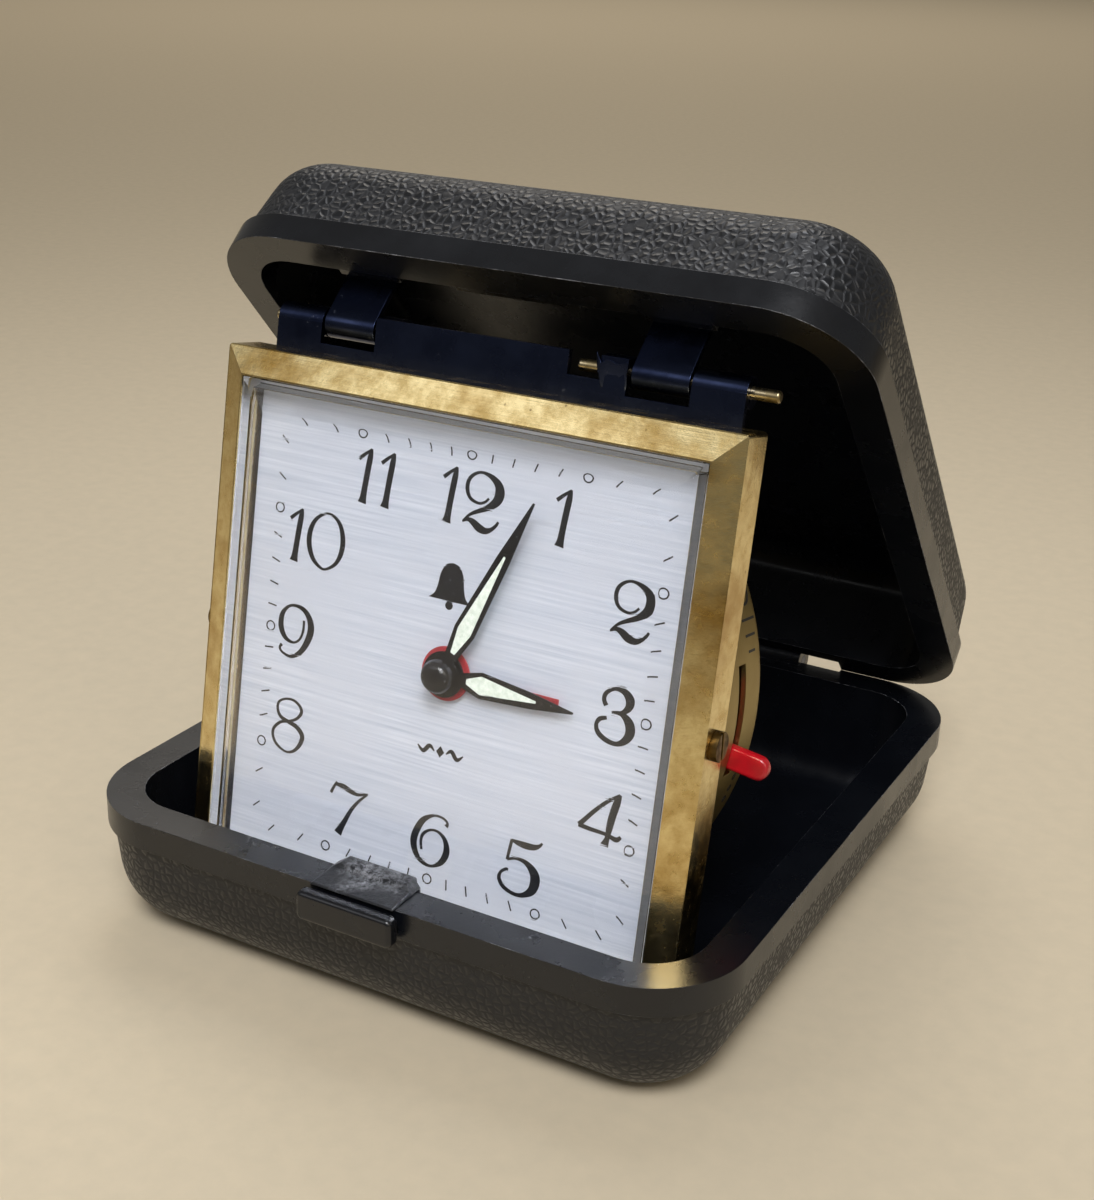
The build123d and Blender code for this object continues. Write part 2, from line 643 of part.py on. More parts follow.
L_ESCAPE = L_GREAT - 1.0
ESCAPE_TEETH = 15
ESCAPE_TIP = 4.0
with BuildPart() as escape_wheel:
    with BuildSketch(at(ESCAPE, L_ESCAPE)):
        Circle(2.9)
        for index in range(ESCAPE_TEETH):
            angle = index * 360 / ESCAPE_TEETH
            with BuildLine():
                Polyline(
                    polar(2.8, angle), polar(ESCAPE_TIP, angle + 4), polar(2.8, angle + 12), close=True
                )
            make_face()
    extrude(amount=WHEEL_T)
    with BuildSketch(at(ESCAPE, L_FOURTH - 0.2)):
        leaf_turn = mesh_turn(ESCAPE, ESCAPE_LEAVES, FOURTH, True)
        Polygon(*teeth_outline(ESCAPE_LEAVES, FOURTH_M, leaf_turn), align=None)
    extrude(amount=0.9)
    with BuildSketch(at(ESCAPE, BACK_PLATE + 0.1)):
        Circle(0.38)
    extrude(amount=INNER_FRONT - BACK_PLATE - 0.2)
    with BuildSketch(at(ESCAPE, BACK_END)):
        Circle(PIVOT_R)
    extrude(amount=FRONT_END - BACK_END)
save(escape_wheel, "escape_wheel")

great_wheel = arbor_part(
    GREAT,
    [(L_GREAT, WHEEL_T, teeth_outline(GREAT_TEETH, GREAT_M, mesh_turn(GREAT, 48, CENTRE, False)))],
    [],
    hole=KEY_ARBOR_R + RUNNING,
)
save(great_wheel, "time_great_wheel")

ALARM_TEETH = 50
ALARM_LEAVES = 8
ALARM_M = 0.32
alarm_turn = mesh_turn(ALARM_GREAT, ALARM_TEETH, ALARM_STAR, False)
alarm_great_wheel = arbor_part(
    ALARM_GREAT,
    [(L_GREAT, WHEEL_T, teeth_outline(ALARM_TEETH, ALARM_M, alarm_turn))],
    [],
    hole=KEY_ARBOR_R + RUNNING,
)
save(alarm_great_wheel, "alarm_great_wheel")

star_turn = mesh_turn(ALARM_STAR, ALARM_LEAVES, ALARM_GREAT, True)
alarm_star_wheel = arbor_part(
    ALARM_STAR,
    [
        (L_GREAT - 0.2, 0.9, teeth_outline(ALARM_LEAVES, ALARM_M, star_turn)),
        (L_FOURTH, WHEEL_T, teeth_outline(14, 0.46)),
    ],
    [(BACK_PLATE + 0.1, INNER_FRONT - 0.1, ARBOR_R), (BACK_END, FRONT_END, PIVOT_R)],
)
save(alarm_star_wheel, "alarm_star_wheel")

# ---- winding arbors with their ratchet wheels, springs, clicks and keys ----
RATCHET_W = L_GREAT - 0.75
KEY_SEAT = DRUM_BACK - 0.2
KEY_END = DRUM_BACK - 5.6
SPRING_BACK = BACK_PLATE + 0.3
SPRING_H = RATCHET_W - 0.4 - SPRING_BACK
for name, spot in (("time", GREAT), ("alarm", ALARM_GREAT)):
    with BuildPart() as winding_arbor:
        with BuildSketch(at(spot, KEY_END + 1.2)):
            Circle(KEY_ARBOR_R)
        extrude(amount=FRONT_END - KEY_END - 1.2)
        with BuildSketch(at(spot, RATCHET_W)):
            Polygon(*teeth_outline(18, 0.36), align=None)
        extrude(amount=0.5)
        with BuildSketch(at(spot, SPRING_BACK)):
            Circle(1.8)
        extrude(amount=SPRING_H)
    save(winding_arbor, f"{name}_winding_arbor")

    with BuildPart() as mainspring:
        with BuildSketch(at(spot, SPRING_BACK)):
            for turn in range(5):
                Circle(3.0 + 0.9 * turn)
                Circle(2.75 + 0.9 * turn, mode=Mode.SUBTRACT)
            with Locations(polar(4.8, 235)):
                Rectangle(4.1, 0.4, rotation=235)
        extrude(amount=SPRING_H)
    save(mainspring, f"{name}_mainspring")

    with BuildPart() as key:
        with BuildSketch(at(spot, KEY_END)):
            SlotOverall(11.0, 5.0)
            with Locations((3.4, 0), (-3.4, 0)):
                Circle(1.1, mode=Mode.SUBTRACT)
        extrude(amount=1.0)
        with BuildSketch(at(spot, KEY_END)):
            Circle(2.0)
        extrude(amount=KEY_SEAT - KEY_END)
        with BuildSketch(at(spot, KEY_END + 1.2)):
            Circle(KEY_ARBOR_R)
        extrude(amount=KEY_SEAT - KEY_END, mode=Mode.SUBTRACT)
    save(key, f"{name}_key")

    with BuildPart() as click:
        click_spot = beside(spot, 5.6, 200)
        with BuildSketch(at(click_spot, RATCHET_W)):
            Circle(0.9)
            with Locations(polar(1.4, 60)):
                Rectangle(2.4, 0.7, rotation=60)
        extrude(amount=0.5)
        with BuildSketch(at(click_spot, BACK_PLATE)):
            Circle(0.5)
        extrude(amount=RATCHET_W - BACK_PLATE)
    save(click, f"{name}_click")

# ---- escapement ----
PALLET_TOP = L_ESCAPE + WHEEL_T
with BuildPart() as pallet_lever:
    toward_escape = bearing(PALLET, ESCAPE)
    toward_balance = bearing(PALLET, BALANCE)
    with BuildSketch(at(PALLET, L_ESCAPE)):
        Circle(0.9)
        with Locations((0, 0)):
            Rectangle(5.6, 0.8, rotation=toward_escape + 90)
        for side in (-1, 1):
            with Locations(beside(polar(2.8, toward_escape + side * 90), 0.45, toward_escape)):
                Rectangle(0.9, 0.6, rotation=toward_escape)
        with Locations(polar(1.9, toward_balance)):
            Rectangle(3.8, 0.7, rotation=toward_balance)
    extrude(amount=WHEEL_T)
    with BuildSketch(at(PALLET, BACK_PLATE + 0.1)):
        Circle(0.4)
    extrude(amount=INNER_FRONT - BACK_PLATE - 0.2)
    with BuildSketch(at(PALLET, BACK_END)):
        Circle(PIVOT_R)
    extrude(amount=FRONT_END - BACK_END)
save(pallet_lever, "pallet_lever")

BALANCE_R = 6.0
BALANCE_W = L_ESCAPE - 1.0
with BuildPart() as balance_wheel:
    with BuildSketch(at(BALANCE, BALANCE_W)):
        Circle(BALANCE_R)
        Circle(BALANCE_R - 0.9, mode=Mode.SUBTRACT)
        Rectangle(2 * BALANCE_R - 1, 0.9)
        Circle(1.0)
    extrude(amount=0.6)
    with BuildSketch(at(BALANCE, BACK_PLATE + 0.1)):
        Circle(0.4)
    extrude(amount=INNER_FRONT - BACK_PLATE - 0.2)
    with BuildSketch(at(BALANCE, BACK_END)):
        Circle(PIVOT_R)
    extrude(amount=FRONT_END - BACK_END)
save(balance_wheel, "balance_wheel")

with BuildPart() as hairspring:
    with BuildSketch(at(BALANCE, BALANCE_W - 0.8)):
        for turn in range(6):
            Circle(1.0 + 0.4 * turn)
            Circle(0.9 + 0.4 * turn, mode=Mode.SUBTRACT)
        with Locations((2.1, 0)):
            Rectangle(2.4, 0.15)
    extrude(amount=0.3)
save(hairspring, "hairspring")

with BuildPart() as regulator:
    with BuildSketch(at(BALANCE, BACK_PLATE - PLATE_T - 0.5)):
        Circle(1.5)
        with Locations(polar(REGULATOR_SLOT_R / 2, -90)):
            Rectangle(REGULATOR_SLOT_R, 0.9, rotation=-90)
        Circle(0.4, mode=Mode.SUBTRACT)
    extrude(amount=0.45)
    with BuildSketch(at(beside(BALANCE, REGULATOR_SLOT_R, -90), BACK_PLATE - PLATE_T - 0.5)):
        Circle(0.6)
    extrude(amount=DRUM_BACK - 0.6 - (BACK_PLATE - PLATE_T - 0.5))
save(regulator, "regulator")

# ---- alarm hammer ----
with BuildPart() as alarm_hammer:
    with BuildSketch(at(HAMMER, L_FOURTH)):
        Circle(1.0)
        with Locations(polar(2.2, 100)):
            Rectangle(4.4, 0.8, rotation=100)
        with Locations(polar(3.5, 240)):
            Rectangle(7.0, 0.9, rotation=240)
        with Locations(polar(7.0, 240)):
            Circle(1.3)
    extrude(amount=WHEEL_T)
    with BuildSketch(at(beside(HAMMER, 7.0, 240), L_FOURTH - 0.9)):
        Circle(1.3)
    extrude(amount=0.9)
    with BuildSketch(at(HAMMER, BACK_PLATE + 0.1)):
        Circle(0.45)
    extrude(amount=INNER_FRONT - BACK_PLATE - 0.2)
    with BuildSketch(at(HAMMER, BACK_END)):
        Circle(PIVOT_R)
    extrude(amount=FRONT_END - BACK_END)
save(alarm_hammer, "alarm_hammer")

# ======================= motion work under the dial =======================
MOTION_M1 = 0.4
MOTION_M2 = 0.384
ALARM_SET_M = 0.35
L_CANNON = FRONT_PLATE + 0.3
L_HOUR = L_CANNON + 0.8
L_ALARM = L_HOUR + 0.8
CANNON_R = 0.85
HOUR_PIPE_R = 1.2
MINUTE_HAND_W = -2.3
HOUR_HAND_W = -2.85
ALARM_HAND_W = -3.45
HAND_T = 0.22

cannon_pinion = arbor_part(
    CENTRE,
    [(L_CANNON, WHEEL_T, teeth_outline(12, MOTION_M1, mesh_turn(CENTRE, 12, MINUTE, True)))],
    [(L_CANNON, MINUTE_HAND_W + HAND_T, CANNON_R)],
    hole=ARBOR_R + RUNNING,
)
save(cannon_pinion, "cannon_pinion")

hour_wheel = arbor_part(
    CENTRE,
    [(L_HOUR, WHEEL_T, teeth_outline(40, MOTION_M2, mesh_turn(CENTRE, 40, MINUTE, False)))],
    [(L_HOUR, HOUR_HAND_W + HAND_T, HOUR_PIPE_R)],
    hole=CANNON_R + RUNNING,
)
save(hour_wheel, "hour_wheel")

alarm_wheel = arbor_part(
    CENTRE,
    [(L_ALARM, WHEEL_T, teeth_outline(48, ALARM_SET_M, mesh_turn(CENTRE, 48, ALARM_SET, False)))],
    [(L_ALARM, ALARM_HAND_W + HAND_T, ALARM_PIPE_R)],
    hole=HOUR_PIPE_R + RUNNING,
)
save(alarm_wheel, "alarm_wheel")

KNOB_SEAT = DRUM_BACK - 0.2
KNOB_END = DRUM_BACK - 3.4
minute_wheel = arbor_part(
    MINUTE,
    [
        (L_CANNON, WHEEL_T, teeth_outline(36, MOTION_M1, mesh_turn(MINUTE, 36, CENTRE, False))),
        (L_HOUR - 0.1, 0.7, teeth_outline(10, MOTION_M2, mesh_turn(MINUTE, 10, CENTRE, True))),
    ],
    [(KNOB_END + 0.6, L_HOUR + 0.5, ARBOR_R)],
)
save(minute_wheel, "minute_wheel")

alarm_set_turn = mesh_turn(ALARM_SET, 12, CENTRE, True)
alarm_set_arbor = arbor_part(
    ALARM_SET,
    [(L_ALARM - 0.1, 0.6, teeth_outline(12, ALARM_SET_M, alarm_set_turn))],
    [(KNOB_END + 0.6, L_ALARM, ARBOR_R)],
)
save(alarm_set_arbor, "alarm_set_arbor")

for name, spot in (("time", MINUTE), ("alarm", ALARM_SET)):
    with BuildPart() as set_knob:
        with BuildSketch(at(spot, KNOB_END)):
            Circle(2.2)
            with PolarLocations(2.3, 20):
                Circle(0.2, mode=Mode.SUBTRACT)
        extrude(amount=KNOB_SEAT - KNOB_END)
        with BuildSketch(at(spot, KNOB_END + 0.6)):
            Circle(ARBOR_R)
        extrude(amount=KNOB_SEAT - KNOB_END, mode=Mode.SUBTRACT)
    save(set_knob, f"{name}_set_knob")

# ======================= hands =======================
# The clock shows four minutes past three and the alarm is set for three.
MINUTES_SHOWN = 3.9
minute_bearing = 90 - 6 * MINUTES_SHOWN
hour_bearing = 90 - 30 * (3 + MINUTES_SHOWN / 60)
alarm_bearing = 90 - 30 * 3


def lancet(length, waist_at, waist_half, root, scale=1.0):
    """A pointed hand's outline along its first axis, swelling to a waist and drawn out to a tip."""
    return [
        (root, -0.5 * scale),
        (root + 1.2, -0.75 * scale),
        (waist_at, -waist_half * scale),
        (length * 0.68, -0.62 * waist_half * scale),
        (length, -0.12),
        (length, 0.12),
        (length * 0.68, 0.62 * waist_half * scale),
        (waist_at, waist_half * scale),
        (root + 1.2, 0.75 * scale),
        (root, 0.5 * scale),
    ]


def hand_window(length, waist_at, waist_half, start, end):
    """The opening of a hand that holds its luminous fill."""
    return [
        (start, -0.3),
        (waist_at, -waist_half + 0.45),
        (end, -0.14),
        (end, 0.14),
        (waist_at, waist_half - 0.45),
        (start, 0.3),
    ]


MINUTE_HAND = dict(length=23.6, waist_at=6.2, waist_half=1.4)
HOUR_HAND = dict(length=16.9, waist_at=5.0, waist_half=1.55)
WINDOWS = dict(minute=(3.1, 16.5), hour=(3.1, 12.2))
for name, size, angle, depth, hub_r, pipe_r in (
    ("minute", MINUTE_HAND, minute_bearing, MINUTE_HAND_W, 2.3, CANNON_R),
    ("hour", HOUR_HAND, hour_bearing, HOUR_HAND_W, 2.7, HOUR_PIPE_R),
):
    window = hand_window(start=WINDOWS[name][0], end=WINDOWS[name][1], **size)
    hand_plane = at(CENTRE, depth, angle)
    with BuildPart() as hand:
        with BuildSketch(hand_plane):
            Polygon(*lancet(root=1.0, **size), align=None)
            Circle(hub_r)
            Polygon(*window, align=None, mode=Mode.SUBTRACT)
            Circle(pipe_r, mode=Mode.SUBTRACT)
        extrude(amount=HAND_T)
    save(hand, f"{name}_hand")
    with BuildPart() as fill:
        with BuildSketch(hand_plane):
            Polygon(*window, align=None)
        extrude(amount=HAND_T - 0.04)
    save(fill, f"{name}_hand_fill")

with BuildPart() as alarm_hand:
    with BuildSketch(at(CENTRE, ALARM_HAND_W, alarm_bearing)):
        Circle(3.2)
        with Locations((7.3, 0)):
            Rectangle(14.8, 0.8)
        Circle(ALARM_PIPE_R, mode=Mode.SUBTRACT)
    extrude(amount=HAND_T)
save(alarm_hand, "alarm_hand")

CAP_TOP = -0.1
with BuildPart() as hand_cap:
    with BuildSketch(at(CENTRE, MINUTE_HAND_W + HAND_T)):
        Circle(2.0)
    extrude(amount=CAP_TOP - MINUTE_HAND_W - HAND_T)
    fillet(hand_cap.faces().sort_by(Axis(dial_plane.origin, dial_plane.z_dir))[-1].edges(), 1.3)
    with BuildSketch(at(CENTRE, MINUTE_HAND_W + HAND_T)):
        Circle(ARBOR_R + RUNNING)
    extrude(amount=0.6, mode=Mode.SUBTRACT)
save(hand_cap, "hand_cap")
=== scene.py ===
import json
import math

import bmesh
import bpy
from bpy.props import FloatProperty, FloatVectorProperty, PointerProperty
from mathutils import Matrix, Vector

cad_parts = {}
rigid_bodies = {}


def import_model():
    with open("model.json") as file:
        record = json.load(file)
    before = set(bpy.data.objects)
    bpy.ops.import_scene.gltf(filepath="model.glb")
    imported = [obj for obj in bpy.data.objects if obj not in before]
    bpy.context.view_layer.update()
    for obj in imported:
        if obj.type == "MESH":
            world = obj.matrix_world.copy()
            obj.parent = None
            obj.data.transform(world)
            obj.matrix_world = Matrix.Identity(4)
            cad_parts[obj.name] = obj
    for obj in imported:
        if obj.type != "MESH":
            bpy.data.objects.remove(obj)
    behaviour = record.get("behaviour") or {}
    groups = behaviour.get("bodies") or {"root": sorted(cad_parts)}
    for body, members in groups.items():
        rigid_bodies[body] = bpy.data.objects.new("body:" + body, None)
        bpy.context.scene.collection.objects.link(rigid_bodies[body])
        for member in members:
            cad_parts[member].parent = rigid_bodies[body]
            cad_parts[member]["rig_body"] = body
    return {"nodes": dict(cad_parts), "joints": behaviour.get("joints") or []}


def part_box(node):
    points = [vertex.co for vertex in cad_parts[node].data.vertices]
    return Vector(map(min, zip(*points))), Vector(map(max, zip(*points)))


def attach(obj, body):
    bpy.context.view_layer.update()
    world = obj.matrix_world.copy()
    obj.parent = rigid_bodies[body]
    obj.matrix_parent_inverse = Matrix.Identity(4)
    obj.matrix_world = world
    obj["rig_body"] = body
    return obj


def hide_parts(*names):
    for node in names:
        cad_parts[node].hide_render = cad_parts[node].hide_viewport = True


bl_info = {
    "name": "Folding travel alarm clock",
    "version": (1, 0, 0),
    "blender": (4, 5, 0),
    "location": "3D View > Sidebar > Travel Alarm",
    "description": "Gives a packed travel alarm clock its shells, gilding, dial and hands",
    "category": "Object",
}

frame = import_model()
NODES = frame["nodes"]
JOINTS = {joint["name"]: joint for joint in frame["joints"]}
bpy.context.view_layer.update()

# Lengths from here to the recipes are in millimetres, and MM turns them to metres.
MM = 0.001
LID_REST = 47.2          # degrees between the tray's rim and the lid's
TRAY_HEIGHT = 17.0
LID_HEIGHT = 16.0
CASE_HALF = (42.0, 44.0)
BAND = 3.5               # smooth band beside each rim
WALL_SHARE = 0.82        # how far out, in shares of the half case, its walls begin
WALL_THICKNESS = 1.0
TONGUE_HALF = 5.6        # half the width of the latch's tongue
LIP_DEPTH = 1.7          # how far the latch's thumb lip stands out of the tray
DIAL_FACE = -4.0         # depth of the dial's face behind the bezel's front edge
DIAL_THICKNESS = 0.5
INK = 0.03               # how proud the printing stands
TRACK = 25.4             # half the side of the square minute track
MARK_HALF = 0.62         # half the length of a minute mark
MARK_WIDTH = 0.17
FIVE_MINUTE_RING = 0.58  # radius of the ring at each five minutes
FIGURE_GAP = 1.95        # half the step between the two figures of a numeral
FIGURE_BOLD = (1.2, 0.05)    # how the pen of the figures below is widened: times, plus
BADGE = (-0.9, 9.9)      # the middle of the bell above the hands
BADGE_SCALE = 1.2
PIN_HEIGHT = 36.75       # the clock's hinge pins, above the middle of the dial
PIN_FRONT = -6.5         # depth of the front of the hinge rolls
DRUM_RADIUS = 32.3       # the back cover's
MARKS_DEPTH = -16.0      # the marks on the back cover's side, behind the bezel's front edge
CAMERA_TARGET = (-0.003234, 0.004494, 0.03507)    # metres
CAMERA_ROLL = 1.89       # degrees
LENS = 53.24

FINISHES = {}            # the material that each recipe has made

# Each figure is a list of pen strokes. A stroke is (closed, points) and a point is
# (across, up, width of the pen), in millimetres from the middle of the figure.
FIGURES = {
    "0": [(True, [
        (-0.3, 3.3, 0.22), (-1.6, 2.45, 0.36), (-2.3, 1.0, 0.52), (-2.35, -0.7, 0.55),
        (-1.7, -2.3, 0.45), (-0.6, -3.2, 0.28), (0.3, -3.3, 0.22), (1.6, -2.4, 0.36),
        (2.3, -0.9, 0.5), (2.35, 0.8, 0.52), (1.8, 2.35, 0.4), (0.8, 3.2, 0.26),
    ])],
    "1": [
        (False, [(-1.0, 1.85, 0.36), (-0.25, 2.5, 0.3), (0.65, 3.2, 0.2)]),
        (False, [
            (0.62, 3.25, 0.22), (0.5, 2.3, 0.55), (0.3, 0.6, 0.6), (0.12, -1.2, 0.6),
            (0.0, -2.5, 0.68), (-0.1, -3.2, 0.95),
        ]),
    ],
    "2": [
        (False, [
            (0.8, 0.45, 0.2), (0.3, -0.05, 0.22), (-0.5, -0.3, 0.24), (-1.6, 0.1, 0.3),
            (-2.1, 1.1, 0.38), (-1.95, 2.2, 0.36), (-1.2, 2.95, 0.27), (-0.25, 3.2, 0.24),
            (0.95, 2.85, 0.48), (1.85, 2.1, 0.8), (2.1, 1.15, 0.98), (1.75, 0.2, 0.85),
            (0.7, -0.65, 0.52), (-0.4, -1.2, 0.38), (-1.4, -1.75, 0.26), (-2.25, -2.6, 0.14),
        ]),
        (False, [
            (-2.3, -2.7, 0.14), (-1.6, -2.35, 0.34), (-0.9, -2.55, 0.6), (-0.1, -3.05, 0.75),
            (0.75, -3.25, 0.58), (1.5, -2.95, 0.36), (2.05, -2.4, 0.27), (2.3, -1.95, 0.2),
        ]),
    ],
    "3": [
        (False, [
            (-1.2, 0.95, 0.42), (-1.55, 1.6, 0.4), (-1.35, 2.4, 0.38), (-0.35, 3.05, 0.32),
            (0.8, 2.95, 0.6), (1.55, 2.2, 0.86), (1.5, 1.3, 0.7), (0.75, 0.55, 0.36),
            (-0.45, 0.35, 0.22),
        ]),
        (False, [
            (-0.3, 0.38, 0.24), (0.8, 0.4, 0.46), (1.75, -0.35, 0.86), (2.05, -1.4, 0.92),
            (1.6, -2.4, 0.7), (0.6, -3.05, 0.42), (-0.75, -2.9, 0.46), (-1.8, -2.25, 0.46),
            (-2.1, -1.4, 0.36), (-1.75, -0.7, 0.4), (-0.95, -0.4, 0.3),
        ]),
    ],
    "4": [
        (False, [
            (1.9, 3.1, 0.26), (0.45, 2.0, 0.34), (-0.95, 0.55, 0.38), (-2.1, -0.85, 0.42),
            (-2.65, -1.5, 0.48),
        ]),
        (False, [
            (-2.7, -1.5, 0.42), (-1.4, -1.65, 0.38), (0.75, -1.75, 0.32), (2.05, -2.05, 0.46),
            (2.6, -1.6, 0.28),
        ]),
        (False, [
            (1.95, 3.15, 0.24), (1.65, 2.2, 0.68), (1.3, 0.6, 0.72), (1.1, -0.9, 0.64),
            (1.0, -2.1, 0.46), (0.75, -3.1, 0.84),
        ]),
    ],
    "5": [
        (False, [(-1.35, 3.0, 0.27), (-1.5, 1.9, 0.3), (-1.7, 0.45, 0.27)]),
        (False, [
            (-1.4, 2.95, 0.2), (-0.5, 2.8, 0.5), (0.6, 2.75, 0.65), (1.6, 2.85, 0.54),
            (2.25, 3.2, 0.3), (2.55, 3.6, 0.18),
        ]),
        (False, [
            (-1.65, 0.5, 0.22), (-0.55, 0.9, 0.27), (0.75, 0.75, 0.46), (1.85, -0.1, 0.88),
            (2.2, -1.1, 1.0), (1.9, -2.35, 0.84), (0.85, -3.2, 0.46), (-0.35, -3.4, 0.34),
            (-1.75, -2.95, 0.38), (-2.45, -2.1, 0.38), (-2.35, -1.3, 0.27),
            (-1.75, -0.75, 0.27), (-1.4, -0.72, 0.22),
        ]),
    ],
    "6": [(False, [
        (1.85, 2.15, 0.42), (2.0, 2.6, 0.24), (1.35, 3.05, 0.22), (0.05, 3.05, 0.24),
        (-1.35, 2.1, 0.58), (-2.2, 0.3, 0.72), (-2.3, -1.1, 0.68), (-1.65, -2.45, 0.54),
        (-0.5, -3.15, 0.34), (0.65, -3.1, 0.27), (1.75, -2.25, 0.58), (2.25, -0.9, 0.68),
        (1.9, 0.45, 0.46), (0.95, 1.2, 0.26), (-0.15, 1.2, 0.22), (-1.1, 0.5, 0.3),
        (-1.35, -0.45, 0.27), (-1.15, -1.5, 0.23),
    ])],
    "7": [
        (False, [(-2.65, 1.7, 0.3), (-2.3, 2.5, 0.27), (-1.9, 3.25, 0.2)]),
        (False, [
            (-2.0, 2.95, 0.3), (-0.95, 2.9, 0.5), (0.05, 2.6, 0.5), (1.15, 2.4, 0.3),
            (2.65, 2.85, 0.16),
        ]),
        (False, [
            (2.6, 2.8, 0.16), (1.4, 1.6, 0.27), (0.4, 0.15, 0.38), (-0.3, -1.35, 0.5),
            (-0.8, -2.35, 0.68), (-1.15, -3.15, 0.88),
        ]),
    ],
    "8": [(True, [
        (0.0, 0.55, 0.24), (1.1, 1.1, 0.27), (1.75, 2.0, 0.34), (1.5, 2.75, 0.3),
        (0.55, 3.3, 0.24), (-0.65, 3.25, 0.2), (-1.65, 2.65, 0.24), (-1.75, 1.7, 0.28),
        (-1.2, 0.85, 0.34), (0.05, 0.45, 0.38), (1.25, 0.1, 0.46), (2.15, -0.8, 0.5),
        (1.9, -2.0, 0.42), (1.0, -3.05, 0.28), (-0.15, -3.35, 0.2), (-1.5, -2.75, 0.27),
        (-2.15, -1.8, 0.28), (-2.1, -0.8, 0.3), (-1.2, 0.15, 0.27),
    ])],
    "9": [(False, [
        (1.1, 1.65, 0.22), (1.1, 0.4, 0.24), (0.7, -0.75, 0.22), (-0.2, -1.35, 0.22),
        (-1.4, -1.0, 0.44), (-2.15, 0.2, 0.6), (-2.15, 1.7, 0.52), (-1.5, 2.75, 0.3),
        (-0.5, 3.2, 0.26), (0.85, 3.0, 0.44), (1.85, 2.05, 0.62), (2.2, 0.65, 0.74),
        (1.75, -1.0, 0.66), (0.85, -2.4, 0.5), (-0.4, -3.15, 0.3), (-1.65, -2.9, 0.22),
        (-2.1, -2.4, 0.24), (-1.85, -1.9, 0.3),
    ])],
}

# Where the middle of each numeral stands on the dial, across and up from its middle.
NUMERALS = {
    "12": (-0.2, 20.4), "1": (12.2, 20.4), "2": (21.8, 12.0), "3": (21.4, 0.0),
    "4": (21.4, -11.8), "5": (12.0, -20.4), "6": (0.0, -20.5), "7": (-11.9, -20.2),
    "8": (-21.6, -11.8), "9": (-21.7, 0.0), "10": (-20.6, 11.8), "11": (-12.3, 20.5),
}


# ---------------------------------------------------------------- places

def plane_of(origin, right, out):
    """The matrix that takes millimetres on a plane, (across, up, out), to metres in the frame."""
    up = out.cross(right)
    turn = Matrix((right, up, out)).transposed().to_4x4()
    return Matrix.Translation(origin) @ turn @ Matrix.Scale(MM, 4)


def dial_plane():
    """Across, up and out of the dial; its origin is on the bezel's front edge."""
    out = Vector(JOINTS["minute_hand_turn"]["axis"])
    middle = 0.5 * (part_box("dial")[0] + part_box("dial")[1])
    origin = middle - out * (DIAL_FACE - DIAL_THICKNESS / 2) * MM
    return plane_of(origin, Vector((1.0, 0.0, 0.0)), out)


def lid_plane():
    """Across, back and out of the lid's rim; its origin is on the hinge."""
    lean = math.radians(LID_REST)
    out = Vector((0.0, math.sin(lean), math.cos(lean)))
    return plane_of(Vector(JOINTS["lid_hinge"]["pos_m"]), Vector((1.0, 0.0, 0.0)), out)


def tray_plane():
    """Across, back and out of the tray's rim; out is down."""
    return plane_of(
        Vector(JOINTS["lid_hinge"]["pos_m"]), Vector((-1.0, 0.0, 0.0)), Vector((0.0, 0.0, -1.0))
    )


# ---------------------------------------------------------------- materials

def linear(colour):
    """A colour written as sRGB hex, as the linear numbers that shaders use."""
    shares = [int(colour[place:place + 2], 16) / 255 for place in (1, 3, 5)]
    return tuple(
        share / 12.92 if share <= 0.04045 else ((share + 0.055) / 1.055) ** 2.4 for share in shares
    ) + (1.0,)


def add(tree, kind, values, out=0):
    """Adds a shader node and gives back one of its outputs.

    Each value goes by the name of a setting or the name or number of a socket, and a value that is
    itself a socket is linked.
    """
    made = tree.nodes.new("ShaderNode" + kind)
    for key, value in values.items():
        if isinstance(value, bpy.types.NodeSocket):
            tree.links.new(value, made.inputs[key])
        elif isinstance(key, str) and hasattr(made, key):
            setattr(made, key, value)
        else:
            made.inputs[key].default_value = value
    return made.outputs[out] if made.outputs else made


def finish(maker):
    """The material that a maker's recipe describes, made once."""
    if maker not in FINISHES:
        made = bpy.data.materials.new(maker.__name__)
        made.use_nodes = True
        made.node_tree.nodes.clear()
        shader = maker(made.node_tree, bpy.context.scene.travel_alarm_colours)
        add(made.node_tree, "OutputMaterial", {"Surface": shader})
        FINISHES[maker] = made
    return FINISHES[maker]


def across_dial(tree, spacing):
    """Where a spot is, square to the dial and divided by a spacing in millimetres each way."""
    facing = JOINTS["minute_hand_turn"]["axis"]
    lean = math.atan2(facing[2], -facing[1])
    spot = add(tree, "TexCoord", {}, "Object")
    turned = add(tree, "VectorRotate", {"rotation_type": "X_AXIS", "Angle": lean, "Vector": spot})
    scale = tuple(1 / (step * MM) for step in spacing)
    return add(tree, "Mapping", {"Scale": scale, "Vector": turned})


def patches(tree, size, low=0.35, high=0.7, detail=4.0, rough=0.55, start=0.0, end=1.0):
    """Cloudy patches, about a size in millimetres across, from start to end between two levels."""
    spot = add(tree, "TexCoord", {}, "Object")
    cloud = add(tree, "TexNoise", {
        "Scale": 1 / (size * MM), "Detail": detail, "Roughness": rough, "Vector": spot,
    })
    return add(tree, "MapRange", {
        "Value": cloud, "From Min": low, "From Max": high, "To Min": start, "To Max": end,
    })


def streaks(tree, spacing, low=0.3, high=0.7, detail=4.0):
    """Straight streaks across the dial, with their length, height and depth in millimetres."""
    cloud = add(tree, "TexNoise", {
        "Scale": 1.0, "Detail": detail, "Vector": across_dial(tree, spacing),
    })
    return add(tree, "MapRange", {"Value": cloud, "From Min": low, "From Max": high})


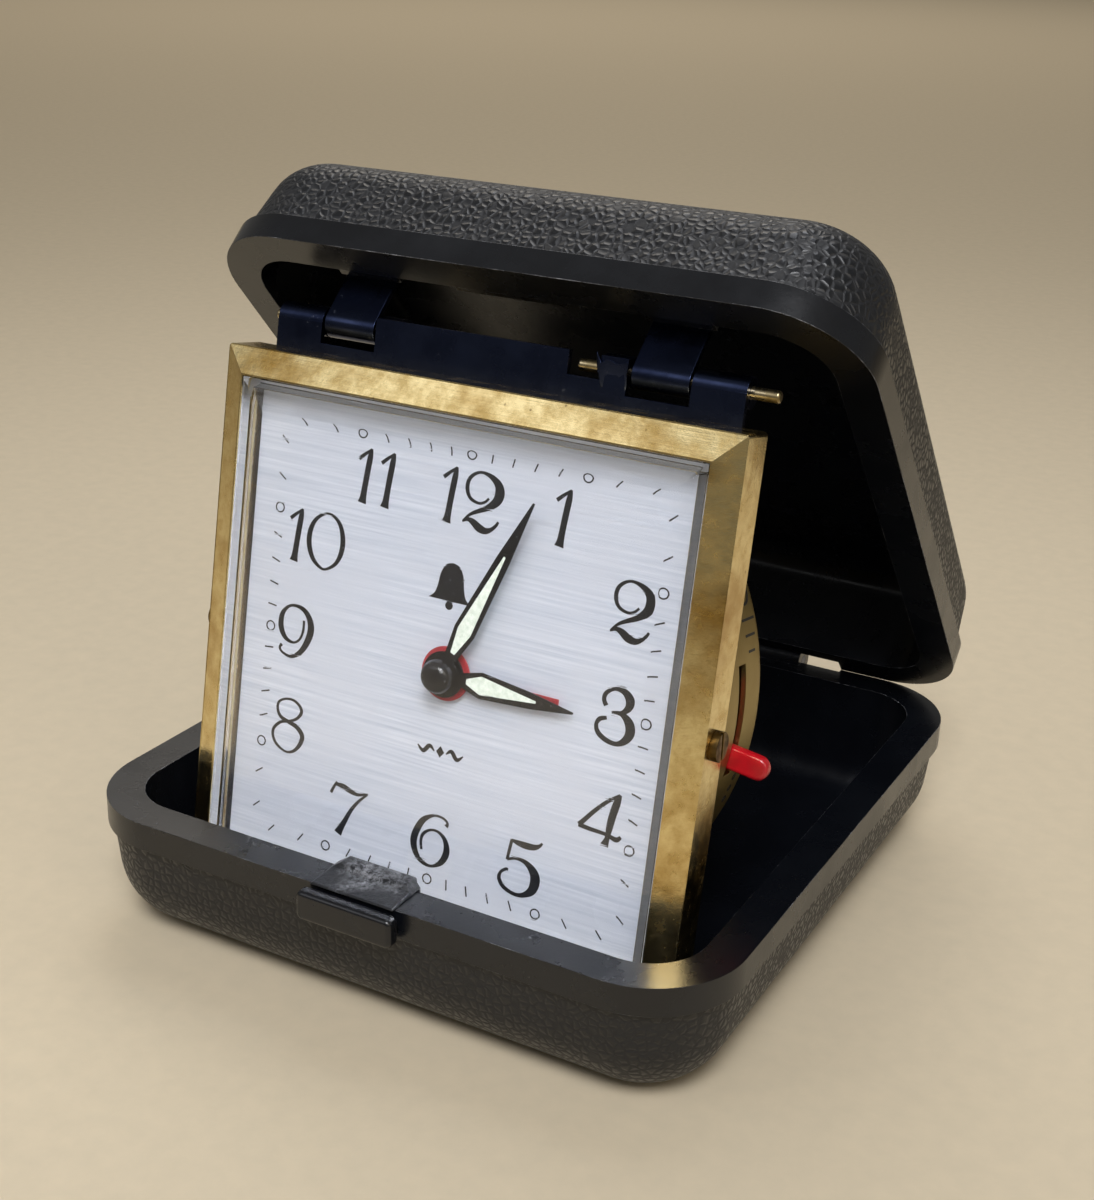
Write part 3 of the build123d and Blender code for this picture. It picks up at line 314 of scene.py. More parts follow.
def leather_grained_abs(tree, colours):
    # Black ABS moulded in an etched tool: domed pebbles about a millimetre across whose tops have
    # rubbed glossy, with duller valleys between them, so it glints in points and not in sheets.
    pitch = bpy.context.scene.travel_alarm_sizes.grain_pitch
    spot = add(tree, "TexCoord", {}, "Object")
    wander = add(tree, "TexNoise", {
        "Scale": 1 / (1.6 * MM), "Detail": 1.0, "Vector": spot,
    }, "Color")
    bent = add(tree, "VectorMath", {
        "operation": "MULTIPLY_ADD", 0: wander, 1: (0.35 * MM,) * 3, 2: spot,
    })
    edge = add(tree, "TexVoronoi", {
        "feature": "DISTANCE_TO_EDGE", "Scale": 1 / pitch, "Randomness": 0.85, "Vector": bent,
    })
    pebble = add(tree, "MapRange", {
        "interpolation_type": "SMOOTHSTEP", "Value": edge, "From Min": -0.02, "From Max": 0.33,
    })
    worn = patches(tree, 22.0)
    return add(tree, "BsdfPrincipled", {
        "IOR": 1.53,
        "Base Color": add(tree, "MixRGB", {
            "Fac": worn, "Color1": colours.case_black, "Color2": linear("#0E1117"),
        }),
        "Roughness": add(tree, "MapRange", {
            "Value": pebble, "From Max": 0.9, "To Min": 0.58, "To Max": 0.3,
        }),
        "Normal": add(tree, "Bump", {"Distance": 0.1 * MM, "Height": pebble}),
    })


def smooth_abs(tree, colours):
    # The same black ABS off a polished part of the tool: a soft gloss with faint rubbing marks.
    rub = patches(tree, 9.0, 0.35, 0.75, detail=6.0)
    hair = patches(tree, 0.5, 0.0, 1.0, detail=2.0)
    return add(tree, "BsdfPrincipled", {
        "IOR": 1.53,
        "Base Color": add(tree, "MixRGB", {
            "Fac": rub, "Color1": colours.case_black, "Color2": linear("#0D1016"),
        }),
        "Roughness": add(tree, "MapRange", {"Value": rub, "To Min": 0.22, "To Max": 0.36}),
        "Normal": add(tree, "Bump", {"Distance": 0.012 * MM, "Height": hair}),
    })


def scuffed_abs(tree, colours):
    # The rims' edges, rubbed by years in a bag: the black breaks through to dusty grey in patches.
    patch = patches(tree, 11.0, 0.47, 0.62, rough=0.7)
    crumbs = patches(tree, 0.7, 0.42, 0.62, rough=0.8)
    wear = add(tree, "Math", {"operation": "MULTIPLY", 0: patch, 1: crumbs})
    return add(tree, "BsdfPrincipled", {
        "IOR": 1.53,
        "Base Color": add(tree, "MixRGB", {
            "Fac": wear, "Color1": colours.case_black, "Color2": colours.scuffs,
        }),
        "Roughness": add(tree, "MapRange", {"Value": wear, "To Min": 0.3, "To Max": 0.65}),
        "Normal": add(tree, "Bump", {"Distance": 0.03 * MM, "Height": crumbs}),
    })


def gilded_brass(tree, colours):
    # Sheet brass, pressed, polished and gilded: nearly a mirror, with a mottled lacquer, brown
    # tarnish in clouds, pin-prick specks and fine scratches along its length.
    mottle = patches(tree, 2.2, 0.38, 0.66, detail=6.0, rough=0.7)
    tarnish = patches(tree, 9.0, 0.5, 0.72, detail=5.0)
    spot = add(tree, "TexCoord", {}, "Object")
    specks = add(tree, "TexVoronoi", {"Scale": 1 / (2.8 * MM), "Vector": spot})
    speck = add(tree, "MapRange", {
        "Value": specks, "From Min": 0.03, "From Max": 0.07, "To Min": 0.7, "To Max": 0.0,
    })
    lines = streaks(tree, (9.0, 0.25, 0.25), 0.0, 1.0, detail=2.0)
    gold = add(tree, "MixRGB", {
        "Fac": mottle, "Color1": colours.gilding, "Color2": linear("#DCC080"),
    })
    browned = add(tree, "MixRGB", {"Fac": tarnish, "Color1": gold, "Color2": linear("#B08C48")})
    return add(tree, "BsdfPrincipled", {
        "Metallic": 1.0,
        "Base Color": add(tree, "MixRGB", {
            "Fac": speck, "Color1": browned, "Color2": linear("#6E5730"),
        }),
        "Roughness": add(tree, "MapRange", {"Value": mottle, "To Min": 0.15, "To Max": 0.3}),
        "Normal": add(tree, "Bump", {
            "Distance": 0.006 * MM,
            "Height": add(tree, "Math", {"operation": "ADD", 0: lines, 1: mottle}),
        }),
    })


def satin_gilt(tree, colours):
    # The back cover: drawn brass, satin finished and lacquered, gone a dull olive gold.
    cloud = patches(tree, 14.0, 0.3, 0.7, detail=5.0)
    grit = patches(tree, 0.3, 0.0, 1.0, detail=2.0)
    return add(tree, "BsdfPrincipled", {
        "Metallic": 1.0,
        "Base Color": add(tree, "MixRGB", {
            "Fac": cloud, "Color1": colours.cover_gilding, "Color2": linear("#8B7643"),
        }),
        "Roughness": add(tree, "MapRange", {"Value": cloud, "To Min": 0.34, "To Max": 0.46}),
        "Normal": add(tree, "Bump", {"Distance": 0.01 * MM, "Height": grit}),
    })


def clear_acrylic(tree, colours):
    # Moulded acrylic: clear, with its own sharp reflections and hairline scratches. Lamps shine
    # through it on to the dial.
    scratch = streaks(tree, (7.0, 7.0, 0.35), 0.68, 0.74, detail=1.0)
    body = add(tree, "BsdfPrincipled", {
        "Base Color": (1.0, 1.0, 1.0, 1.0),
        "Transmission Weight": 1.0,
        "IOR": 1.49,
        "Roughness": 0.015,
        "Normal": add(tree, "Bump", {"Distance": 0.004 * MM, "Height": scratch}),
    })
    lamp_way = add(tree, "BsdfTransparent", {"Color": (0.96, 0.965, 0.97, 1.0)})
    shadow = add(tree, "LightPath", {}, "Is Shadow Ray")
    return add(tree, "MixShader", {0: shadow, 1: body, 2: lamp_way})


def silvered_brass(tree, colours):
    # A brass dial plate, brushed straight across, silvered and lacquered: cool white with fine
    # level lines. The real lines are finer than the eye can part, so they are drawn at a third of
    # a millimetre.
    lines = streaks(tree, (16.0, 0.33, 0.33))
    cloud = patches(tree, 12.0, detail=5.0)
    silver = add(tree, "MixRGB", {
        "Fac": lines, "Color1": colours.dial_silver, "Color2": linear("#C3CBD9"),
    })
    return add(tree, "BsdfPrincipled", {
        "Metallic": 0.4,
        "Base Color": add(tree, "MixRGB", {
            "Fac": cloud, "Color1": silver, "Color2": linear("#D4D9E4"),
        }),
        "Roughness": add(tree, "MapRange", {"Value": lines, "To Min": 0.36, "To Max": 0.5}),
        "Normal": add(tree, "Bump", {"Distance": 0.01 * MM, "Height": lines}),
    })


def printing_ink(tree, colours):
    # Stamped black ink: thick enough to catch a little light, with tiny pinholes.
    holes = patches(tree, 0.35, 0.68, 0.74, detail=3.0)
    return add(tree, "BsdfPrincipled", {
        "IOR": 1.5,
        "Base Color": add(tree, "MixRGB", {
            "Fac": holes, "Color1": colours.ink, "Color2": linear("#6C7078"),
        }),
        "Roughness": add(tree, "MapRange", {"Value": holes, "To Min": 0.48, "To Max": 0.6}),
    })


def heat_blued_steel(tree, colours):
    # Spring-steel strip, heat-blued after bending: near black with navy clouds, and bare grey
    # where it has rubbed.
    cloud = patches(tree, 4.5)
    rub = patches(tree, 1.4, 0.64, 0.76, detail=6.0, rough=0.75)
    blue = add(tree, "MixRGB", {
        "Fac": cloud, "Color1": colours.blued, "Color2": linear("#1D2338"),
    })
    return add(tree, "BsdfPrincipled", {
        "Metallic": 1.0,
        "Base Color": add(tree, "MixRGB", {
            "Fac": rub, "Color1": blue, "Color2": linear("#7C849C"),
        }),
        "Roughness": add(tree, "MapRange", {"Value": cloud, "To Min": 0.2, "To Max": 0.36}),
        "Normal": add(tree, "Bump", {
            "Distance": 0.015 * MM, "Height": patches(tree, 1.5, 0.0, 1.0),
        }),
    })


def drawn_steel(tree, colours):
    # Drawn steel wire, nickel-washed: bright with a warm yellow tarnish.
    tarnish = patches(tree, 1.8, 0.4, 0.7)
    return add(tree, "BsdfPrincipled", {
        "Metallic": 1.0,
        "Base Color": add(tree, "MixRGB", {
            "Fac": tarnish, "Color1": linear("#BDAF8E"), "Color2": linear("#8A784F"),
        }),
        "Roughness": add(tree, "MapRange", {"Value": tarnish, "To Min": 0.2, "To Max": 0.42}),
    })


def clock_brass(tree, colours):
    # Stamped and polished clock brass inside the movement.
    cloud = patches(tree, 6.0)
    return add(tree, "BsdfPrincipled", {
        "Metallic": 1.0,
        "Base Color": add(tree, "MixRGB", {
            "Fac": cloud, "Color1": linear("#CFAE68"), "Color2": linear("#A98543"),
        }),
        "Roughness": add(tree, "MapRange", {"Value": cloud, "To Min": 0.24, "To Max": 0.4}),
    })


def tarnished_brass(tree, colours):
    # Turned brass screws gone brown, in clouds of darker brown.
    cloud = patches(tree, 1.6, 0.35, 0.65)
    return add(tree, "BsdfPrincipled", {
        "Metallic": 1.0,
        "Base Color": add(tree, "MixRGB", {
            "Fac": cloud, "Color1": linear("#7A6238"), "Color2": linear("#43341C"),
        }),
        "Roughness": add(tree, "MapRange", {"Value": cloud, "To Min": 0.3, "To Max": 0.5}),
    })


def black_enamel(tree, colours):
    # Stoved black enamel on the hands: glossy, with dust specks.
    dust = patches(tree, 0.45, 0.7, 0.76, detail=3.0)
    return add(tree, "BsdfPrincipled", {
        "IOR": 1.5,
        "Base Color": add(tree, "MixRGB", {
            "Fac": dust, "Color1": colours.ink, "Color2": linear("#7A7D82"),
        }),
        "Roughness": add(tree, "MapRange", {"Value": dust, "To Min": 0.24, "To Max": 0.6}),
        "Normal": add(tree, "Bump", {
            "Distance": 0.012 * MM, "Height": patches(tree, 0.8, 0.0, 1.0),
        }),
    })


def luminous_paint(tree, colours):
    # Luminous compound laid in the hands: chalky pale green, slightly uneven.
    grain = patches(tree, 0.5, detail=3.0)
    return add(tree, "BsdfPrincipled", {
        "IOR": 1.5,
        "Base Color": add(tree, "MixRGB", {
            "Fac": grain, "Color1": colours.luminous, "Color2": linear("#C7D2C2"),
        }),
        "Roughness": add(tree, "MapRange", {"Value": grain, "To Min": 0.5, "To Max": 0.7}),
        "Normal": add(tree, "Bump", {"Distance": 0.01 * MM, "Height": grain}),
    })


def red_enamel(tree, colours):
    # Thin red enamel on the alarm hand: satin, a little faded.
    fade = patches(tree, 1.2, 0.35, 0.75)
    return add(tree, "BsdfPrincipled", {
        "IOR": 1.5,
        "Base Color": add(tree, "MixRGB", {
            "Fac": fade, "Color1": colours.alarm_red, "Color2": linear("#7E2A30"),
        }),
        "Roughness": add(tree, "MapRange", {"Value": fade, "To Min": 0.32, "To Max": 0.5}),
    })


def red_polystyrene(tree, colours):
    # The moulded red button: glossy with soft flow marks.
    flow = patches(tree, 2.6, detail=2.0)
    return add(tree, "BsdfPrincipled", {
        "IOR": 1.59,
        "Base Color": add(tree, "MixRGB", {
            "Fac": flow, "Color1": colours.button_red, "Color2": linear("#A8141F"),
        }),
        "Roughness": add(tree, "MapRange", {"Value": flow, "To Min": 0.14, "To Max": 0.24}),
    })


def studio_paper(tree, colours):
    # A wide sheet of matt backing paper, very faintly fibrous.
    fibre = patches(tree, 3.0, 0.3, 0.7, detail=5.0)
    return add(tree, "BsdfPrincipled", {
        "IOR": 1.45,
        "Base Color": add(tree, "MixRGB", {
            "Fac": fibre, "Color1": colours.paper, "Color2": linear("#C8BBA2"),
        }),
        "Roughness": add(tree, "MapRange", {"Value": fibre, "To Min": 0.82, "To Max": 0.9}),
    })


# ---------------------------------------------------------------- making meshes

def shown(name, mesh, finishes, body):
    """Puts a finished mesh in the scene as a piece of a body."""
    for maker in finishes:
        mesh.materials.append(finish(maker))
    piece = bpy.data.objects.new(name, mesh)
    bpy.context.scene.collection.objects.link(piece)
    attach(piece, body)
    return piece


def softened(node, finishes, width, pick=None, edge=0, limit=32.0, segments=2):
    """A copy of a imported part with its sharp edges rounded, which then stands for the part.

    Width is in millimetres. Pick says which finish a face takes from its middle and the way that
    it faces, and edge is the finish of the rounded edges.
    """
    source = NODES[node]
    body = source["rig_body"]
    work = bmesh.new()
    work.from_mesh(source.data)
    bmesh.ops.remove_doubles(work, verts=work.verts, dist=0.002 * MM)
    bmesh.ops.dissolve_limit(
        work, angle_limit=math.radians(0.4), verts=work.verts, edges=work.edges
    )
    bmesh.ops.recalc_face_normals(work, faces=work.faces)
    work.verts.index_update()
    mesh = bpy.data.meshes.new(node + "_shape")
    mesh.from_pydata(
        [vertex.co.copy() for vertex in work.verts],
        [],
        [[vertex.index for vertex in face.verts] for face in work.faces],
    )
    work.free()
    mesh.shade_smooth()
    piece = shown(node + "_finished", mesh, finishes, body)
    if pick:
        for face in mesh.polygons:
            face.material_index = pick(face.center, face.normal)
    rounding = piece.modifiers.new("rounded_edges", "BEVEL")
    rounding.width = width * MM
    rounding.segments = segments
    rounding.limit_method = "ANGLE"
    rounding.angle_limit = math.radians(limit)
    rounding.use_clamp_overlap = True
    rounding.material = edge
    evening = piece.modifiers.new("even_shading", "WEIGHTED_NORMAL")
    evening.keep_sharp = True
    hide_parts(node)
    return piece


def carried(nodes, maker):
    """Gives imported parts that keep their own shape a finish."""
    for node in nodes:
        part = NODES[node]
        part.data.materials.clear()
        part.data.materials.append(finish(maker))
        for face in part.data.polygons:
            face.material_index = 0


def smooth_path(points, closed, steps):
    """A smooth line through points of any numbers, with so many steps between each two."""
    count = len(points)
    spans = count if closed else count - 1
    path = []
    for span in range(spans):
        four = []
        for step in (-1, 0, 1, 2):
            spot = span + step
            four.append(points[spot % count if closed else min(max(spot, 0), count - 1)])
        for step in range(steps):
            t = step / steps
            path.append(tuple(
                0.5 * (2 * b + (c - a) * t + (2 * a - 5 * b + 4 * c - d) * t ** 2
                       + (3 * b - a - 3 * c + d) * t ** 3)
                for a, b, c, d in zip(*four)
            ))
    if not closed:
        path.append(tuple(points[-1]))
    return path


def lay_stroke(work, points, low, high, closed=False, steps=6):
    """One stroke of a pen of changing width, as a thin raised strip between two depths."""
    path = smooth_path(points, closed, steps)
    count = len(path)
    rows = []
    for spot, (across, up, width) in enumerate(path):
        before = path[spot - 1] if closed or spot else path[spot]
        after = path[(spot + 1) % count] if closed or spot < count - 1 else path[spot]
        run = Vector((after[0] - before[0], after[1] - before[1])).normalized() * width / 2
        corners = ((-1, low), (1, low), (1, high), (-1, high))
        rows.append([
            work.verts.new((across - run.y * hand, up + run.x * hand, depth))
            for hand, depth in corners
        ])
    for spot in range(count if closed else count - 1):
        first = rows[spot]
        second = rows[(spot + 1) % count]
        for side in range(4):
            after = (side + 1) % 4
            work.faces.new((first[side], first[after], second[after], second[side]))
    if not closed:
        work.faces.new(rows[0])
        work.faces.new(rows[-1])


def lay_plate(work, outline, low, high):
    """A flat plate of any outline between two depths."""
    floor = [work.verts.new((across, up, low)) for across, up in outline]
    top = [work.verts.new((across, up, high)) for across, up in outline]
    work.faces.new(floor)
    work.faces.new(top)
    count = len(outline)
    for spot in range(count):
        after = (spot + 1) % count
        work.faces.new((floor[spot], floor[after], top[after], top[spot]))


def laid(name, work, plane, body, finishes, smooth=False):
    """Turns work done on a plane, in millimetres, into a piece."""
    bmesh.ops.recalc_face_normals(work, faces=work.faces)
    work.transform(plane)
    mesh = bpy.data.meshes.new(name)
    work.to_mesh(mesh)
    work.free()
    if smooth:
        mesh.shade_smooth()
    return shown(name, mesh, finishes, body)


def ring(across, up, radius, width):
    """The points of a round stroke."""
    return [
        (across + radius * math.cos(math.pi * eighth / 4),
         up + radius * math.sin(math.pi * eighth / 4), width)
        for eighth in range(8)
    ]


def shell_finish(plane, height):
    """Picks grained plastic for a shell's outside above its smooth band, and smooth elsewhere."""
    inward = plane.inverted()
    turn = inward.to_3x3()

    def pick(middle, facing):
        spot = inward @ middle
        way = turn @ facing
        outside = (
            abs(spot.x) > WALL_SHARE * CASE_HALF[0]
            or abs(spot.y + CASE_HALF[1]) > WALL_SHARE * CASE_HALF[1]
            or spot.z > height - WALL_THICKNESS
        )
        core = Vector((0.0, -CASE_HALF[1], 0.35 * height))
        grained = outside and spot.z > BAND - 0.1 and way.dot(spot - core) > 0
        return 1 if grained else 0

    return pick


# ---------------------------------------------------------------- what a user would change

class TravelAlarmSizes(bpy.types.PropertyGroup):
    """Sizes of the finer work, all lengths in metres."""

    rim_rounding: FloatProperty(
        name="Rim rounding", description="Radius of the moulded rims' edges",
        default=0.35 * MM, unit="LENGTH",
    )
    sheet_rounding: FloatProperty(
        name="Sheet rounding", description="Radius of the pressed metal's edges",
        default=0.12 * MM, unit="LENGTH",
    )
    grain_pitch: FloatProperty(
        name="Grain pitch", description="Distance from one pebble of the leather grain to the next",
        default=1.05 * MM, unit="LENGTH",
    )
    camera_distance: FloatProperty(
        name="Camera distance", description="From the camera to the spot that it looks at",
        default=0.22936, unit="LENGTH",
    )
    camera_around: FloatProperty(
        name="Camera around", description="How far round to the right of the front it stands",
        default=math.radians(28.457), subtype="ANGLE",
    )
    camera_up: FloatProperty(
        name="Camera up", description="How far above level it looks down from",
        default=math.radians(21.893), subtype="ANGLE",
    )


class TravelAlarmColours(bpy.types.PropertyGroup):
    """Colours of the finishes."""

    case_black: FloatVectorProperty(
        name="Case black", description="The shells' plastic", size=4, subtype="COLOR",
        default=linear("#0A0C11"),
    )
    scuffs: FloatVectorProperty(
        name="Scuffs", description="The rims where they are rubbed", size=4, subtype="COLOR",
        default=linear("#8E9096"),
    )
    gilding: FloatVectorProperty(
        name="Gilding", description="The bezel", size=4, subtype="COLOR",
        default=linear("#F0DCA4"),
    )
    cover_gilding: FloatVectorProperty(
        name="Cover gilding", description="The back cover", size=4, subtype="COLOR",
        default=linear("#AB9863"),
    )
    dial_silver: FloatVectorProperty(
        name="Dial silver", description="The dial plate", size=4, subtype="COLOR",
        default=linear("#E2E7F2"),
    )
    ink: FloatVectorProperty(
        name="Ink", description="Numerals, minute marks and hands", size=4, subtype="COLOR",
        default=linear("#121317"),
    )
    blued: FloatVectorProperty(
        name="Blued steel", description="The clock's hinge", size=4, subtype="COLOR",
        default=linear("#323A54"),
    )
    luminous: FloatVectorProperty(
        name="Luminous fill", description="The filling of the hands", size=4, subtype="COLOR",
        default=linear("#E4EBDF"),
    )
    alarm_red: FloatVectorProperty(
        name="Alarm red", description="The alarm hand", size=4, subtype="COLOR",
        default=linear("#A32430"),
    )
    button_red: FloatVectorProperty(
        name="Button red", description="The alarm switch", size=4, subtype="COLOR",
        default=linear("#CC1B26"),
    )
    paper: FloatVectorProperty(
        name="Paper", description="The floor", size=4, subtype="COLOR",
        default=linear("#CDBFA5"),
    )


# ---------------------------------------------------------------- operators

class TRAVELALARM_OT_case(bpy.types.Operator):
    """Make the two moulded shells and their latch"""

    bl_idname = "travel_alarm.case"
    bl_label = "Case and latch"

    def execute(self, context):
        rim = context.scene.travel_alarm_sizes.rim_rounding / MM
        plastics = (smooth_abs, leather_grained_abs, scuffed_abs)
        softened("case_base", plastics, rim,
                 shell_finish(tray_plane(), TRAY_HEIGHT), edge=2)
        softened("case_lid", plastics, rim,
                 shell_finish(lid_plane(), LID_HEIGHT), edge=2)
        softened("latch_button", (smooth_abs, scuffed_abs), 0.3, edge=1)
        self.tongue()
        softened("case_hinge_pin", (heat_blued_steel,), 0.1)
        carried(["latch_spring"], drawn_steel)
        return {"FINISHED"}

    def tongue(self):
        """The latch's tongue, with the rubbed plate on the rim that joins it to the thumb lip."""
        low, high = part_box("latch_catch")
        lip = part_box("latch_button")[0].y / MM + LIP_DEPTH
        inner = high.y / MM
        rim = JOINTS["lid_hinge"]["pos_m"][2] / MM
        top = high.z / MM
        outline = (
            (lip, rim + 0.03, 0.0), (lip + 0.2, rim + 0.28, 0.3), (lip + 2.2, rim + 0.34, 0.35),
            (inner - 2.7, rim + 0.45, 0.4), (inner - 2.1, top - 0.12, 1.1), (inner - 0.4, top, 1.3),
            (inner, top - 0.3, 1.1), (inner, low.z / MM, 0.6), (inner - 1.05, low.z / MM, 0.6),
            (inner - 1.05, rim + 0.03, 0.1),
        )
        work = bmesh.new()
        rows = [
            [work.verts.new((side * (TONGUE_HALF - inset), y, z)) for y, z, inset in outline]
            for side in (-1, 1)
        ]
        work.faces.new(rows[0])
        work.faces.new(rows[1])
        for step in range(len(outline)):
            after = (step + 1) % len(outline)
            work.faces.new((rows[0][step], rows[0][after], rows[1][after], rows[1][step]))
        piece = laid("latch_tongue", work, Matrix.Scale(MM, 4), "latch",
                     (scuffed_abs,), smooth=True)
        rounding = piece.modifiers.new("rounded_edges", "BEVEL")
        rounding.width = 0.15 * MM
        rounding.segments = 2
        rounding.limit_method = "ANGLE"
        piece.modifiers.new("even_shading", "WEIGHTED_NORMAL")
        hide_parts("latch_catch")


class TRAVELALARM_OT_clock_hinge(bpy.types.Operator):
    """Make the steel hinge that the clock hangs from"""

    bl_idname = "travel_alarm.clock_hinge"
    bl_label = "Clock hinge"

    def execute(self, context):
        for node in ("hinge_plate", "lid_strap_left", "lid_strap_right"):
            softened(node, (heat_blued_steel,), 0.1)
        for node in ("clock_pin_left", "clock_pin_right", "strap_rivets", "plate_rivets"):
            softened(node, (drawn_steel,), 0.2)
        work = bmesh.new()
        outline = (
            (12.5, 38.7), (13.2, 37.5), (13.9, 38.0), (15.1, 37.6), (16.35, 38.0), (16.4, 35.6),
            (16.2, 34.2), (15.2, 33.5), (14.3, 33.9), (13.5, 33.6), (13.2, 35.4), (12.9, 36.6),
        )
        lay_plate(work, outline, 0.0, 0.3)
        bmesh.ops.subdivide_edges(work, edges=work.edges, cuts=2, use_grid_fill=True)
        # The tab wraps a little round its pin, and its torn corner stands forward.
        for vertex in work.verts:
            reach = vertex.co.y - PIN_HEIGHT
            lift = PIN_FRONT - 0.09 * reach * reach + 0.35 * max(0.0, 13.6 - vertex.co.x)
            vertex.co.z += lift
        tab = laid("bent_tab", work, dial_plane(), "clock", (heat_blued_steel,),
                   smooth=True)
        rounding = tab.modifiers.new("rounded_edges", "BEVEL")
        rounding.width = 0.06 * MM
        rounding.limit_method = "ANGLE"
        tab.modifiers.new("even_shading", "WEIGHTED_NORMAL")
        return {"FINISHED"}


class TRAVELALARM_OT_bezel(bpy.types.Operator):
    """Make the gilt bezel, its screws and the acrylic crystal"""

    bl_idname = "travel_alarm.bezel"
    bl_label = "Bezel and crystal"

    def execute(self, context):
        sheet = context.scene.travel_alarm_sizes.sheet_rounding / MM
        softened("bezel", (gilded_brass,), sheet, limit=20.0)
        softened("crystal", (clear_acrylic,), 0.12)
        softened("bezel_screws", (tarnished_brass,), 0.15)
        softened("dial_ring", (gilded_brass,), 0.1)
        return {"FINISHED"}


class TRAVELALARM_OT_dial(bpy.types.Operator):
    """Make the silvered dial and print it"""

    bl_idname = "travel_alarm.dial"
    bl_label = "Dial"

    def execute(self, context):
        carried(["dial"], silvered_brass)
        plane = dial_plane()
        low = DIAL_FACE + 0.005
        high = DIAL_FACE + INK
        for numeral, (across, up) in NUMERALS.items():
            work = bmesh.new()
            gap = FIGURE_GAP * (0.8 if numeral == "11" else 1.1)
            for place, figure in enumerate(numeral):
                shift = across + (2 * place - 1) * gap if len(numeral) == 2 else across
                for layer, (closed, points) in enumerate(FIGURES[figure]):
                    moved = [
                        (x + shift, y + up, FIGURE_BOLD[0] * width + FIGURE_BOLD[1])
                        for x, y, width in points
                    ]
                    lay_stroke(work, moved, low, high + 0.004 * layer, closed)
            laid(f"numeral_{numeral}", work, plane, "clock", (printing_ink,))
        strokes = bmesh.new()
        rings = bmesh.new()
        for minute in range(60):
            angle = math.radians(90 - 6 * minute)
            way = Vector((math.cos(angle), math.sin(angle)))
            spot = way * TRACK / max(abs(way.x), abs(way.y))
            if minute % 5:
                ends = [spot - way * MARK_HALF, spot + way * MARK_HALF]
                line = [(end.x, end.y, MARK_WIDTH) for end in ends]
                lay_stroke(strokes, line, low, high, steps=1)
            else:
                circle = ring(spot.x, spot.y, FIVE_MINUTE_RING, MARK_WIDTH)
                lay_stroke(rings, circle, low, high, True, steps=4)
        laid("minute_strokes", strokes, plane, "clock", (printing_ink,))
        laid("five_minute_rings", rings, plane, "clock", (printing_ink,))
        badge = bmesh.new()
        half = smooth_path(
            [(0.0, 2.35), (0.75, 2.1), (1.25, 1.2), (1.45, 0.0), (1.75, -0.85), (2.35, -1.35)],
            False, 5,
        )
        bell = half + [(-across, up) for across, up in reversed(half[1:])]
        outline = [
            (BADGE_SCALE * across + BADGE[0], BADGE_SCALE * up + BADGE[1]) for across, up in bell
        ]
        lay_plate(badge, outline, low, high)
        clapper = smooth_path(ring(BADGE[0], BADGE[1] - 2.15, 0.5, 0.1), True, 4)
        lay_plate(badge, [(across, up) for across, up, width in clapper], low, high)
        laid("bell_badge", badge, plane, "clock", (printing_ink,))
        flourish = bmesh.new()
        for hand in (-1, 1):
            lay_stroke(
                flourish,
                [(hand * 0.8, -9.7, 0.15), (hand * 1.5, -9.2, 0.5), (hand * 2.3, -10.0, 0.5),
                 (hand * 3.1, -9.4, 0.15)],
                low, high,
            )
        lay_plate(flourish, [(0.0, -8.9), (0.55, -9.6), (0.0, -10.3), (-0.55, -9.6)], low, high)
        laid("dial_flourish", flourish, plane, "clock", (printing_ink,))
        return {"FINISHED"}


class TRAVELALARM_OT_hands(bpy.types.Operator):
    """Make the hands and their cap"""

    bl_idname = "travel_alarm.hands"
    bl_label = "Hands"

    def execute(self, context):
        for node in ("minute_hand", "hour_hand", "hand_cap"):
            softened(node, (black_enamel,), 0.05)
        for node in ("minute_hand_fill", "hour_hand_fill"):
            softened(node, (luminous_paint,), 0.03)
        softened("alarm_hand", (red_enamel,), 0.05)
        return {"FINISHED"}


class TRAVELALARM_OT_back(bpy.types.Operator):
    """Make the back cover and what a hand reaches there"""

    bl_idname = "travel_alarm.back"
    bl_label = "Back cover and keys"

    def execute(self, context):
        softened("back_cover", (satin_gilt,), 0.2)
        for node in ("time_key", "alarm_key", "time_set_knob", "alarm_set_knob"):
            softened(node, (clock_brass,), 0.12)
        softened("alarm_lever", (red_polystyrene,), 0.5, segments=4)
        marks = bmesh.new()
        for arc, half in ((7.6, 0.9), (9.4, 1.3), (11.2, 1.7)):
            bar = [(arc, MARKS_DEPTH - half, 0.3), (arc, MARKS_DEPTH + half, 0.3)]
            lay_stroke(marks, bar, 0.0, INK, steps=3)
        lay_stroke(marks, ring(14.2, MARKS_DEPTH, 1.3, 0.35), 0.0, INK, True)
        for arc in (-10.5, -9.0, -7.5):
            lay_stroke(marks, ring(arc, MARKS_DEPTH, 0.3, 0.3), 0.0, INK, True, steps=3)
        for vertex in marks.verts:
            angle = vertex.co.x / DRUM_RADIUS
            radius = DRUM_RADIUS + vertex.co.z
            vertex.co = (radius * math.cos(angle), radius * math.sin(angle), vertex.co.y)
        laid("switch_marks", marks, dial_plane(), "clock", (printing_ink,))
        softened("regulator", (drawn_steel,), 0.05)
        return {"FINISHED"}


